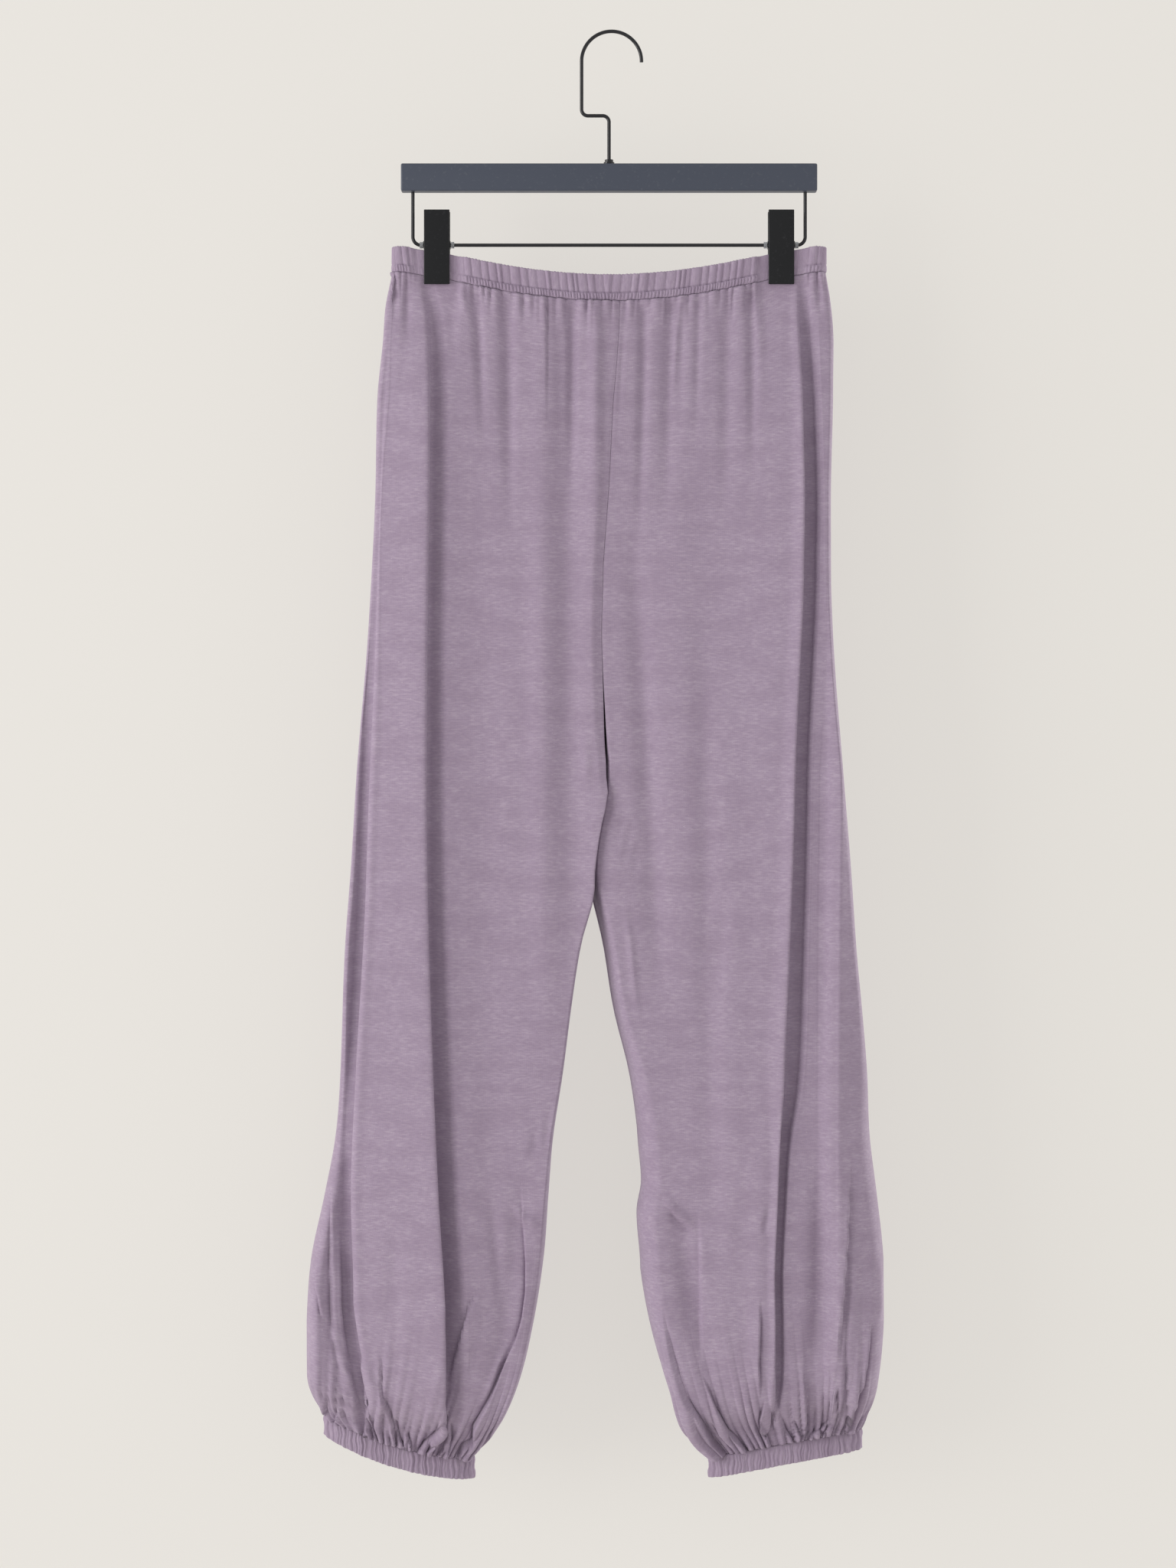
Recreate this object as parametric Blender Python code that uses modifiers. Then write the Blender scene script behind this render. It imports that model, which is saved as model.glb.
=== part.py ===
"""Jersey sweatpants with gathered cuffs, hung by the waistband on a black clip hanger.

The front faces -Y, +Z is up, and the origin is the inside of the hanger hook's crown.
Sizes in the tables are millimetres; MM turns them into Blender's metres.
"""
import math
from collections import namedtuple

import bmesh
import bpy
from mathutils import Vector

MM = 0.001

# Cloth walls and seams
PANEL_WALL = 1.5
CASING_WALL = 2.3
SEAM_GAP = 0.3

# Waistband, an elastic casing that sags between the two clips
WAIST_HALF = 172.5
WAIST_END_TOP = -170.0
WAIST_CLIP_TOP = -173.3
WAIST_MIDDLE_TOP = -193.4
WAIST_HEIGHT = 20.0
WAIST_SAG_POWER = 1.9
WAIST_RIBS = 72
WAIST_RIB_HEIGHT = 0.9
WAIST_MIDDLE_HALF_DEPTH = 9.2
WAIST_CLIP_HALF_DEPTH = 3.6
WAIST_END_HALF_DEPTH = 5.2
WAIST_END_ROUNDING = 7.0
GRIP_START = 5.0
GRIP_END = 14.0

# Cuffs, elastic casings at the hems
CUFF_HEIGHT = 16.5
CUFF_RIBS = 32
CUFF_RIB_HEIGHT = 1.0
CUFF_HALF_DEPTH = 15.0
CUFF_SQUARENESS = 2.6
RIB_EDGE_SHARE = 0.35
RIB_GRIP_LOSS = 0.85

# How finely outlines are traced, and the angle above which an edge stays sharp
OUTLINE_STEPS = 720
SMOOTH_ANGLE = 50.0

# Panels
CROTCH = -606.0
FLUTES = 8
FLUTE_HEIGHT = 4.2
FLUTE_COLUMNS = 2 * FLUTES
HEM_WAVES = 8
HEM_WAVE_HEIGHT = 4.4
BACK_COLUMNS = 24
BACK_CROWDING = 0.11
BACK_FLUTE_COLUMNS = 18
BACK_FLUTE_SHARE = 0.8
FLAP_COLUMNS = 5
FLAP_ROOM = 12.0
SIDE_ROOM = 10.0
ROLL_ROOM = 1.5
ROLL_SIDE_ROOM = 4.0
EDGE_COLUMNS = 3
SIDE_ROUNDING = 13.0
BACK_SIDE_ROUNDING = 24.0
INNER_ROUNDING = 17.0
LEG_SLANT = 0.24
SLANT_REACH = 36.0
SEAM_MARGIN = 9.0

# Hanger
HOOK_WIRE = 2.9
HOOK_CENTRE_X = 2.0
HOOK_RADIUS = 23.75
HOOK_JOG = -65.6
HOOK_FOOT = -100.3
HOOK_BEND = 5.0
BAR_LENGTH = 330.0
BAR_DEPTH = 12.0
BAR_TOP = -104.2
BAR_BOTTOM = -126.0
BAR_EDGE = 1.4
FERRULE_WIDTH = 6.7
FLANGE_WIDTH = 8.6
FLANGE_HEIGHT = 1.2
ROD_WIRE = 2.8
ROD_HALF = 155.7
ROD_HEIGHT = -168.3
ROD_BEND = 6.5
CLIP_X = 136.5
CLIP_WIDTH = 20.3
CLIP_TOP = -141.0
CLIP_BOTTOM = -200.0
CLIP_PLATE = 2.4
CLIP_SEAT = 4.25
CLIP_EDGE = 0.5
PIVOT_WIDTH = 21.6
PIVOT_HEIGHT = 5.2
COLLAR_WIDTH = 2.6
COLLAR_DIAMETER = 5.2

Line = namedtuple("Line", "height across")
Section = namedtuple("Section", "level front back rounding")
Crease = namedtuple("Crease", "height across depth")
FoldPoint = namedtuple("FoldPoint", "across back")
Ridge = namedtuple("Ridge", "top bottom across_top across_bottom width rise")
Side = namedtuple("Side", "name sign outer inseam flap flap_form roll roll_form ridges cuff")
Cuff = namedtuple("Cuff", "inner outer bow")

# Rows of every panel: height of each row in the middle of the body
WAIST_SEAM = WAIST_MIDDLE_TOP - WAIST_HEIGHT - SEAM_GAP
LEVELS = (WAIST_SEAM, -217, -227, -244, -272, -312, -368, -438, -500, -558, -606,
          -644, -690, -760, -838, -908, -966, -1016, -1056, -1086, -1105, -1116)

# Centre seams, front and back alike, from the waistband to the crotch
CENTRE_SEAM = (Line(-190, 8.5), Line(-231, 8.0), Line(-263, 6.0), Line(-298, 3.0),
               Line(-358, 0.0), Line(-430, -5.0), Line(-478, -6.0), Line(-540, -4.0),
               Line(-606, -3.5))

# Depth of the front and back walls from the middle plane, and how far the
# inner edges have turned in from a flat centre seam (0) to a round leg (1)
SECTIONS = (Section(-210, 8, 8, 0.0), Section(-260, 15, 16, 0.0), Section(-312, 20, 21, 0.0),
            Section(-368, 22, 23, 0.0), Section(-438, 24, 24, 0.05), Section(-500, 25, 24, 0.25),
            Section(-558, 26, 24, 0.6), Section(-606, 26, 24, 1.0), Section(-690, 27, 24, 1.0),
            Section(-760, 29, 25, 1.0), Section(-838, 32, 26, 1.0), Section(-908, 36, 27, 1.0),
            Section(-966, 40, 28, 1.0), Section(-1016, 43, 29, 1.0), Section(-1056, 41, 29, 1.0),
            Section(-1086, 33, 27, 1.0), Section(-1105, 22, 21, 1.0), Section(-1116, 15, 15, 1.0))

# The flap: a leg's outer front lies over the main front along a deep valley
LEFT_FLAP = (Crease(-190, 148, 0.0), Crease(-217, 147, 0.1), Crease(-244, 143.5, 0.45),
             Crease(-300, 142, 0.9), Crease(-368, 142.5, 1.0), Crease(-500, 144.5, 1.0),
             Crease(-606, 145, 1.0), Crease(-700, 144, 1.0), Crease(-812, 140.6, 1.0),
             Crease(-913, 136.7, 1.0), Crease(-1003, 131, 1.0), Crease(-1070, 129, 0.85),
             Crease(-1100, 133, 0.4), Crease(-1116, 139, 0.0))
RIGHT_FLAP = (Crease(-190, 151, 0.0), Crease(-217, 153.5, 0.1), Crease(-250, 155, 0.6),
              Crease(-300, 157, 1.0), Crease(-368, 158, 1.0), Crease(-493, 157, 1.0),
              Crease(-569, 153.7, 1.0), Crease(-651, 151.3, 1.0), Crease(-732, 147.6, 1.0),
              Crease(-812, 147, 1.0), Crease(-925, 139.4, 1.0), Crease(-999, 133, 0.9),
              Crease(-1048, 133, 0.8), Crease(-1082, 130, 0.5), Crease(-1116, 124, 0.0))

# Across the left leg's valley: main front, valley, under the flap, its edge, its face
LEFT_FLAP_FORM = (FoldPoint(-16, 0.5), FoldPoint(-10, 3.5), FoldPoint(-5, 5.8), FoldPoint(-0.5, 7.2),
                  FoldPoint(2, 6.2), FoldPoint(1.8, 2), FoldPoint(0.6, -3.5), FoldPoint(-0.4, -8),
                  FoldPoint(0.8, -10.2), FoldPoint(6, -10), FoldPoint(16, -8))
# Across the right leg's groove: its left lip hangs over the floor
RIGHT_FLAP_FORM = (FoldPoint(-16, -1), FoldPoint(-11, -2.5), FoldPoint(-7.5, -4), FoldPoint(-5.4, -3.6),
                   FoldPoint(-5, 0), FoldPoint(-6.5, 5), FoldPoint(-3.5, 9.5), FoldPoint(0, 10.5),
                   FoldPoint(3.8, 9.4), FoldPoint(5.4, 6.4), FoldPoint(7.8, 4.2))

# The roll: the left flap turns back at its outer edge and the leg's side shows behind
# it, and the right leg's side comes forward in a soft step
LEFT_ROLL = (Crease(-190, 168.5, 0.0), Crease(-260, 174, 0.1), Crease(-338, 179, 0.35),
             Crease(-480, 184, 0.6), Crease(-606, 189.5, 0.8), Crease(-700, 192.5, 0.9),
             Crease(-823, 199, 1.0), Crease(-915, 202.5, 1.0), Crease(-1003, 200, 1.0),
             Crease(-1070, 190, 0.8), Crease(-1100, 184, 0.3), Crease(-1116, 184, 0.0))
RIGHT_ROLL = (Crease(-190, 168, 0.0), Crease(-300, 173.5, 0.1), Crease(-436, 174.5, 0.3),
              Crease(-490, 175.5, 0.6), Crease(-569, 173, 0.9), Crease(-634, 170.8, 1.0),
              Crease(-700, 170, 1.0), Crease(-800, 169.5, 1.0), Crease(-900, 169.5, 1.0),
              Crease(-1000, 170, 0.9), Crease(-1060, 170, 0.6), Crease(-1100, 168, 0.2),
              Crease(-1116, 166, 0.0))
LEFT_ROLL_FORM = (FoldPoint(-9, -1), FoldPoint(-3.5, -0.5), FoldPoint(-0.5, 2), FoldPoint(0, 5),
                  FoldPoint(-2, 8), FoldPoint(1, 10.5), FoldPoint(6, 11))
RIGHT_ROLL_FORM = (FoldPoint(-5.5, 3.6), FoldPoint(-2.5, 3.2), FoldPoint(0, 1.6), FoldPoint(0.8, -0.4),
                   FoldPoint(3.5, -2.4), FoldPoint(7, -4.4), FoldPoint(11, -6))

# Soft ridges (rise above 0) and troughs of the main fronts
LEFT_RIDGES = (Ridge(-205, -820, 54, 51, 11, 3.2), Ridge(-205, -740, 34, 31, 9, -2.6),
               Ridge(-205, -650, 10, 12, 10, 2.8), Ridge(-300, -1000, 104, 92, 18, -2.0),
               Ridge(-900, -1100, 66, 92, 9, -3.5), Ridge(-820, -1080, 112, 110, 14, 2.5))
RIGHT_RIDGES = (Ridge(-390, -760, 19, 40, 9, -3.6), Ridge(-340, -800, 50, 66, 18, 2.6),
                Ridge(-520, -1060, 92, 96, 16, 2.2), Ridge(-460, -980, 74, 82, 9, -1.8),
                Ridge(-930, -1100, 52, 88, 9, -3.5), Ridge(-860, -1090, 118, 118, 10, 2.0),
                Ridge(-230, -1080, 158, 140, 46, 9.0))
# Broad folds of the backs
BACK_RIDGES = (Ridge(-260, -820, 40, 56, 13, 3.2), Ridge(-280, -1040, 74, 84, 13, -3.4),
               Ridge(-250, -980, 112, 122, 15, 3.6), Ridge(-420, -1060, 146, 160, 12, -3.8),
               Ridge(-860, -1090, 96, 118, 10, 2.6))

# The photographed outlines of the legs
LEFT_OUTER = (Line(-190, 172.5), Line(-217, 178), Line(-244, 180), Line(-290, 184.4),
              Line(-368, 186), Line(-436, 189.2), Line(-500, 193.3), Line(-581, 200.2),
              Line(-660, 205), Line(-727, 209.9), Line(-824, 213.5), Line(-873, 217.2),
              Line(-922, 226.3), Line(-970, 236.4), Line(-1019, 240), Line(-1062, 240),
              Line(-1080, 236), Line(-1095, 225.5))
LEFT_INSEAM = (Line(-606, 3.5), Line(-632, 9.6), Line(-658, 13.4), Line(-682, 15.6),
               Line(-725, 24.2), Line(-775, 31.8), Line(-825, 37.6), Line(-873, 44),
               Line(-922, 47.4), Line(-970, 51), Line(-1019, 58.6), Line(-1067, 70),
               Line(-1103, 86), Line(-1130, 107))
RIGHT_OUTER = (Line(-190, 172.5), Line(-217, 176.8), Line(-244, 178.8), Line(-290, 178.3),
               Line(-368, 176.4), Line(-436, 176.5), Line(-500, 179.3), Line(-581, 185.6),
               Line(-660, 192), Line(-727, 196.5), Line(-776, 201), Line(-824, 205),
               Line(-873, 207), Line(-922, 212.9), Line(-970, 217.8), Line(-1019, 218),
               Line(-1056, 215.2), Line(-1085, 210), Line(-1106, 200))
RIGHT_INSEAM = (Line(-606, -3.5), Line(-632, -8.6), Line(-658, -12.2), Line(-682, -13),
                Line(-725, -4.6), Line(-775, 3.4), Line(-825, 15.5), Line(-873, 22),
                Line(-911, 24.6), Line(-935, 21), Line(-980, 24), Line(-1025, 32),
                Line(-1070, 45), Line(-1105, 58), Line(-1129, 79))

LEFT = Side("left", -1, LEFT_OUTER, LEFT_INSEAM, LEFT_FLAP, LEFT_FLAP_FORM, LEFT_ROLL,
            LEFT_ROLL_FORM, LEFT_RIDGES, Cuff(-1129.5, -1095.5, 28.0))
RIGHT = Side("right", 1, RIGHT_OUTER, RIGHT_INSEAM, RIGHT_FLAP, RIGHT_FLAP_FORM, RIGHT_ROLL,
             RIGHT_ROLL_FORM, RIGHT_RIDGES, Cuff(-1129.0, -1106.0, -5.0))

# Colours, roughness and metallic value of each material
LILAC = (0.34, 0.27, 0.36, 1.0)
SATIN_BLACK = (0.030, 0.034, 0.044, 1.0)
GLOSS_BLACK = (0.012, 0.012, 0.015, 1.0)
CLEAR_GREY = (0.55, 0.57, 0.60, 1.0)


def blend(first, second, share):
    return first + (second - first) * share


def ramp(value, start, end):
    """Smooth step from 0 at start to 1 at end."""
    share = min(1.0, max(0.0, (value - start) / (end - start)))
    return share * share * (3 - 2 * share)


def read(table, column, height):
    """A column of a table whose first column falls, smoothly interpolated at a height."""
    if height >= table[0][0]:
        return getattr(table[0], column)
    if height <= table[-1][0]:
        return getattr(table[-1], column)
    last = len(table) - 1
    row = next(i for i in range(last) if table[i + 1][0] <= height)
    values = [getattr(table[min(last, max(0, row + step))], column) for step in (-1, 0, 1, 2)]
    heights = [table[min(last, max(0, row + step))][0] for step in (-1, 0, 1, 2)]
    span = heights[2] - heights[1]
    share = (height - heights[1]) / span
    slope_in = (values[2] - values[0]) / (heights[2] - heights[0]) * span
    slope_out = (values[3] - values[1]) / (heights[3] - heights[1]) * span
    rise = values[2] - values[1]
    if rise * slope_in <= 0 or rise * slope_out <= 0:
        return blend(values[1], values[2], share * share * (3 - 2 * share))
    slope_in = math.copysign(min(abs(slope_in), 3 * abs(rise)), rise)
    slope_out = math.copysign(min(abs(slope_out), 3 * abs(rise)), rise)
    square = share * share
    cube = square * share
    return (values[1] * (2 * cube - 3 * square + 1) + slope_in * (cube - 2 * square + share)
            + values[2] * (3 * square - 2 * cube) + slope_out * (cube - square))


def waist_top(x):
    """Upper edge of the waistband, which sags between the clips."""
    across = abs(x)
    if across < CLIP_X:
        lift = (WAIST_CLIP_TOP - WAIST_MIDDLE_TOP) * (across / CLIP_X) ** WAIST_SAG_POWER
        return WAIST_MIDDLE_TOP + lift
    return blend(WAIST_CLIP_TOP, WAIST_END_TOP, ramp(across, CLIP_X, WAIST_HALF))


def clip_grip(x):
    """1 under a clip, 0 away from it."""
    past_edge = abs(abs(x) - CLIP_X) - CLIP_WIDTH / 2
    return 1.0 - ramp(past_edge, GRIP_START, GRIP_END)


def waist_half_depth(x):
    """Half thickness of the flattened waist, pressed thin by the clips."""
    across = abs(x)
    middle = math.sqrt(max(0.0, 1 - (across / CLIP_X) ** 2))
    if across < CLIP_X:
        depth = blend(WAIST_CLIP_HALF_DEPTH, WAIST_MIDDLE_HALF_DEPTH, middle)
    else:
        depth = WAIST_END_HALF_DEPTH
    depth = blend(depth, WAIST_CLIP_HALF_DEPTH, clip_grip(x))
    inset = min(1.0, (WAIST_HALF - across) / WAIST_END_ROUNDING)
    return depth * math.sqrt(max(0.0, 1 - (1 - inset) ** 2))


def cuff_bottom(side, share):
    """Lower edge of a cuff, from the inseam (0) to the outer seam (1)."""
    cuff = side.cuff
    straight = blend(cuff.inner, cuff.outer, share) - CUFF_HEIGHT
    return straight - cuff.bow * share * (1 - share)


def closed_ring(ring, top_at, bottom_at, ribs, grip):
    """Solid casing: ribs raised on its outer points over a plain inside."""
    mesh = bmesh.new()
    normals = ring_normals(ring)
    count = len(ring)

    def add_layer(drop, rises):
        layer = []
        for point, normal, rise in zip(ring, normals, rises):
            x = point.x + normal.x * rise
            y = point.y + normal.y * rise
            height = blend(top_at(x), bottom_at(x), drop)
            layer.append(mesh.verts.new(Vector((x, y, height)) * MM))
        return layer

    layers = []
    for drop, share in ((0.0, RIB_EDGE_SHARE), (0.2, 1.0), (0.8, 1.0), (1.0, RIB_EDGE_SHARE)):
        heights = [ribs * share * (1 - RIB_GRIP_LOSS * held) for held in grip]
        layers.append(add_layer(drop, [rise * (index % 2) for index, rise in enumerate(heights)]))
    for drop in (1.0, 0.0):
        layers.append(add_layer(drop, [-CASING_WALL] * count))
    for number, layer in enumerate(layers):
        following = layers[(number + 1) % len(layers)]
        for index in range(count):
            after = (index + 1) % count
            mesh.faces.new((layer[index], layer[after], following[after], following[index]))
    bmesh.ops.recalc_face_normals(mesh, faces=mesh.faces)
    return mesh


def ring_normals(points):
    """Outward level normals of a closed ring that runs clockwise seen from above."""
    normals = []
    for index, point in enumerate(points):
        along = points[(index + 1) % len(points)] - points[index - 1]
        normals.append(Vector((along.y, -along.x, 0)).normalized())
    return normals


def oval_ring(half_depth, low, high, count):
    """Points round a flat oval, in equal steps along a cosine."""
    ring = []
    for index in range(count):
        angle = 2 * math.pi * index / count
        x = (low + high) / 2 - (high - low) / 2 * math.cos(angle)
        ring.append(Vector((x, -math.copysign(half_depth(x), math.sin(angle)), 0)))
    return ring


def new_object(name, mesh_builder, material, collection):
    data = bpy.data.meshes.new(name)
    mesh_builder.to_mesh(data)
    mesh_builder.free()
    data.shade_smooth()
    data.set_sharp_from_angle(angle=math.radians(SMOOTH_ANGLE))
    piece = bpy.data.objects.new(name, data)
    data.materials.append(material)
    collection.objects.link(piece)
    return piece


def make_material(name, colour, roughness, metallic):
    material = bpy.data.materials.new(name)
    material.use_nodes = True
    shader = material.node_tree.nodes["Principled BSDF"]
    shader.inputs["Base Color"].default_value = colour
    shader.inputs["Roughness"].default_value = roughness
    shader.inputs["Metallic"].default_value = metallic
    return material


def even_steps(points, count):
    """The same closed outline in equal steps of length."""
    closed = points + points[:1]
    lengths = [0.0]
    for first, second in zip(closed, closed[1:]):
        lengths.append(lengths[-1] + (second - first).length)
    steps = []
    cursor = 0
    for number in range(count):
        target = lengths[-1] * number / count
        while lengths[cursor + 1] < target:
            cursor += 1
        share = (target - lengths[cursor]) / (lengths[cursor + 1] - lengths[cursor])
        steps.append(closed[cursor].lerp(closed[cursor + 1], share))
    return steps


def make_waistband(cloth, collection):
    outline = oval_ring(waist_half_depth, -WAIST_HALF, WAIST_HALF, OUTLINE_STEPS)
    ring = even_steps(outline, 2 * WAIST_RIBS)
    grip = [clip_grip(point.x) for point in ring]
    solid = closed_ring(ring, waist_top, lambda x: waist_top(x) - WAIST_HEIGHT,
                        WAIST_RIB_HEIGHT, grip)
    return new_object("waistband", solid, cloth, collection)


def cuff_half_depth(side):
    """Half thickness of a cuff against the distance across the body."""
    inner = read(side.inseam, "across", side.cuff.inner)
    outer = read(side.outer, "across", side.cuff.outer)

    def half_depth(x):
        share = (side.sign * x - inner) / (outer - inner)
        return CUFF_HALF_DEPTH * math.sqrt(max(0.0, 1 - abs(2 * share - 1) ** CUFF_SQUARENESS))

    return inner, outer, half_depth


def make_cuff(side, cloth, collection):
    inner, outer, half_depth = cuff_half_depth(side)
    low = min(side.sign * inner, side.sign * outer)
    high = max(side.sign * inner, side.sign * outer)
    ring = even_steps(oval_ring(half_depth, low, high, OUTLINE_STEPS), 2 * CUFF_RIBS)

    def bottom_at(x):
        return cuff_bottom(side, (side.sign * x - inner) / (outer - inner))

    solid = closed_ring(ring, lambda x: bottom_at(x) + CUFF_HEIGHT, bottom_at,
                        CUFF_RIB_HEIGHT, [0.0] * len(ring))
    return new_object("cuff_" + side.name, solid, cloth, collection)


def fold_stations(line, form, level, room_in, room_out):
    """Where a fold's points lie across the leg, and how far back, at one level."""
    middle = read(line, "across", level)
    depth = read(line, "depth", level)
    first = form[0].across
    last = form[-1].across
    scale = min(1.0, (middle - room_in) / -first, (room_out - middle) / last)
    scale = scale * blend(0.6, 1.0, depth)
    stations = []
    for index, point in enumerate(form):
        level_step = blend(first, last, index / (len(form) - 1))
        across = middle + scale * blend(level_step, point.across, depth)
        stations.append((across, point.back * depth * min(1.0, scale + 0.2)))
    return stations


def between(first, second, count, lean):
    """Stations between two others, drawn towards the first by a lean above 1."""
    stations = []
    for index in range(1, count):
        share = (index / count) ** lean
        stations.append((blend(first[0], second[0], share), blend(first[1], second[1], share)))
    return stations


def front_stations(side, level, inner, outer):
    """Distance across and fold depth of each column of a front, inseam to outer seam."""
    flap = fold_stations(side.flap, side.flap_form, level, inner + FLAP_ROOM, outer - SIDE_ROOM)
    roll = fold_stations(side.roll, side.roll_form, level, flap[-1][0] + ROLL_ROOM,
                         outer - ROLL_SIDE_ROOM)
    seam = (inner, 0.0)
    edge = (outer, 0.0)
    columns = [seam] + between(seam, flap[0], FLUTE_COLUMNS, 1.08)
    columns += flap + between(flap[-1], roll[0], FLAP_COLUMNS, 1.0)
    columns += roll + between(roll[-1], edge, EDGE_COLUMNS, 0.7)
    return columns + [edge]


def back_stations(inner, outer):
    """Columns of a back, from the outer seam to the inseam, closer near both."""
    columns = []
    for index in range(1, BACK_COLUMNS + 1):
        share = index / BACK_COLUMNS
        share -= BACK_CROWDING * math.sin(2 * math.pi * share)
        columns.append((blend(outer, inner, share), 0.0))
    return columns


def ridge_rise(ridges, across, level):
    rise = 0.0
    for ridge in ridges:
        run = (level - ridge.top) / (ridge.bottom - ridge.top)
        if 0 < run < 1:
            middle = blend(ridge.across_top, ridge.across_bottom, run)
            fade = math.sin(math.pi * run) ** 0.6
            rise += ridge.rise * fade * math.exp(-((across - middle) / ridge.width) ** 2)
    return rise


def flute_rise(column, level):
    """Flutes under the waistband: every second column stands forward."""
    growth = ramp(level, WAIST_SEAM, -228) * (1 - ramp(level, -232, -400))
    unevenness = 0.65 + 0.35 * math.sin(2.4 * column + 0.7)
    return FLUTE_HEIGHT * growth * unevenness * (0.5 if column % 2 else -0.5)


def hem_rise(share, level):
    """Gathers above the cuff."""
    growth = ramp(level, -1000, -1098) * (1 - 0.85 * ramp(level, -1104, -1116))
    unevenness = 0.7 + 0.3 * math.sin(9.0 * share + 1.0)
    return HEM_WAVE_HEIGHT * growth * unevenness * math.sin(2 * math.pi * HEM_WAVES * share)


def wall_height(side, x, across_share, level):
    """Height of a row where it crosses x: it follows the waist above and the cuff below."""
    waist = waist_top(x) - WAIST_MIDDLE_TOP
    cuff = cuff_bottom(side, across_share) + CUFF_HEIGHT + SEAM_GAP - LEVELS[-1]
    waist_weight = 1 - ramp(level, WAIST_SEAM, -330)
    cuff_weight = ramp(level, -966, LEVELS[-1])
    return level + waist * waist_weight + cuff * cuff_weight


def half_surface(side):
    """Rows of outer points of one half, from the front seam round to the back seam."""
    rows = []
    for level in LEVELS:
        row = []
        if level >= CROTCH:
            inner = side.sign * read(CENTRE_SEAM, "across", level)
        else:
            inner_height = wall_height(side, 0.0, 0.0, level)
            inner = read(side.inseam, "across", inner_height)
        outer_height = wall_height(side, WAIST_HALF, 1.0, level)
        outer = read(side.outer, "across", outer_height)
        front_depth = read(SECTIONS, "front", level)
        back_depth = read(SECTIONS, "back", level)
        rounding = read(SECTIONS, "rounding", level)
        waist_share = 1 - ramp(level, -217, -312)
        cuff_share = ramp(level, -1080, LEVELS[-1])
        cuff_from, cuff_to, cuff_depth = cuff_half_depth(side)
        fronts = [(station, True) for station in front_stations(side, level, inner, outer)]
        backs = [(station, False) for station in back_stations(inner, outer)]
        for column, ((across, back), is_front) in enumerate(fronts + backs):
            share = min(1.0, max(0.0, (across - inner) / (outer - inner)))
            x = side.sign * across
            from_inner = min(1.0, (across - inner) / INNER_ROUNDING)
            side_rounding = SIDE_ROUNDING if is_front else BACK_SIDE_ROUNDING
            from_outer = min(1.0, max(0.0, (outer - across) / side_rounding))
            inner_form = blend(1.0, math.sqrt(max(0.0, 1 - (1 - from_inner) ** 2)), rounding)
            outer_form = math.sqrt(max(0.0, 1 - (1 - from_outer) ** 2))
            form = inner_form * outer_form
            depth = front_depth if is_front else back_depth
            depth = blend(depth * form, waist_half_depth(x * WAIST_HALF / outer), waist_share)
            cuff_x = side.sign * blend(cuff_from, cuff_to, share)
            depth = blend(depth, cuff_depth(cuff_x), cuff_share)
            edge_fade = ramp(min(across - inner, outer - across), 0, SEAM_MARGIN)
            calm = (1 - clip_grip(x) * (1 - ramp(level, -222, -260))) * edge_fade
            if is_front:
                rise = ridge_rise(side.ridges, across, level)
                rise += flute_rise(column, level) if column < FLUTE_COLUMNS else 0.0
            else:
                rise = ridge_rise(BACK_RIDGES, across, level)
                if column < len(fronts) + BACK_FLUTE_COLUMNS:
                    rise += flute_rise(column, level) * BACK_FLUTE_SHARE
            rise += hem_rise(share, level)
            depth += rise * calm - back * (1 - cuff_share) * ramp(outer - across, 0, 4)
            y = -depth if is_front else depth
            slant = LEG_SLANT * rounding * (1 - cuff_share)
            slant *= 1 - ramp(across - inner, 4, SLANT_REACH)
            x -= slant * y * (1 - ramp(level, -760, -960))
            row.append(Vector((x, y, wall_height(side, side.sign * across, share, level))))
        rows.append(row)
    return rows, len(fronts) - 1


def surface_normals(side, rows):
    """Outward normals of a half; the seams' own normals are set so that both sides agree."""
    normals = []
    last_row = len(rows) - 1
    last_column = len(rows[0]) - 1
    for number, row in enumerate(rows):
        rounding = read(SECTIONS, "rounding", LEVELS[number])
        line = []
        for column in range(last_column + 1):
            along = row[min(last_column, column + 1)] - row[max(0, column - 1)]
            down = rows[min(last_row, number + 1)][column] - rows[max(0, number - 1)][column]
            normal = down.cross(along) * side.sign
            if column in (0, last_column):
                facing = -1 if column == 0 else 1
                normal = Vector((-side.sign * rounding, facing * (1 - rounding), 0))
            line.append(normal.normalized())
        normals.append(line)
    return normals


def panel(name, side, rows, normals, columns, seam_shifts, cloth, collection):
    """A cloth wall over some columns of a half, closed along all four edges."""
    first, last = columns
    mesh = bmesh.new()
    outer = []
    inner = []
    cuff_from, cuff_to, _ = cuff_half_depth(side)
    for level, row, line in zip(LEVELS, rows, normals):
        outer_line = []
        inner_line = []
        for column in range(first, last + 1):
            shift = seam_shifts.get(column, Vector((0, 0, 0)))
            point = row[column] + shift
            inside = point - line[column] * PANEL_WALL
            if level in (LEVELS[0], LEVELS[-1]):
                share = (side.sign * inside.x - cuff_from) / (cuff_to - cuff_from)
                inside.z = wall_height(side, inside.x, share, level)
            outer_line.append(mesh.verts.new(point * MM))
            inner_line.append(mesh.verts.new(inside * MM))
        outer.append(outer_line)
        inner.append(inner_line)
    count = last - first
    for number in range(len(rows) - 1):
        for column in range(count):
            for grid in (outer, inner):
                mesh.faces.new((grid[number][column], grid[number][column + 1],
                                grid[number + 1][column + 1], grid[number + 1][column]))
        for column in (0, count):
            mesh.faces.new((outer[number][column], outer[number + 1][column],
                            inner[number + 1][column], inner[number][column]))
    for number in (0, len(rows) - 1):
        for column in range(count):
            mesh.faces.new((outer[number][column], outer[number][column + 1],
                            inner[number][column + 1], inner[number][column]))
    bmesh.ops.recalc_face_normals(mesh, faces=mesh.faces)
    return new_object(name, mesh, cloth, collection)


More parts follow.
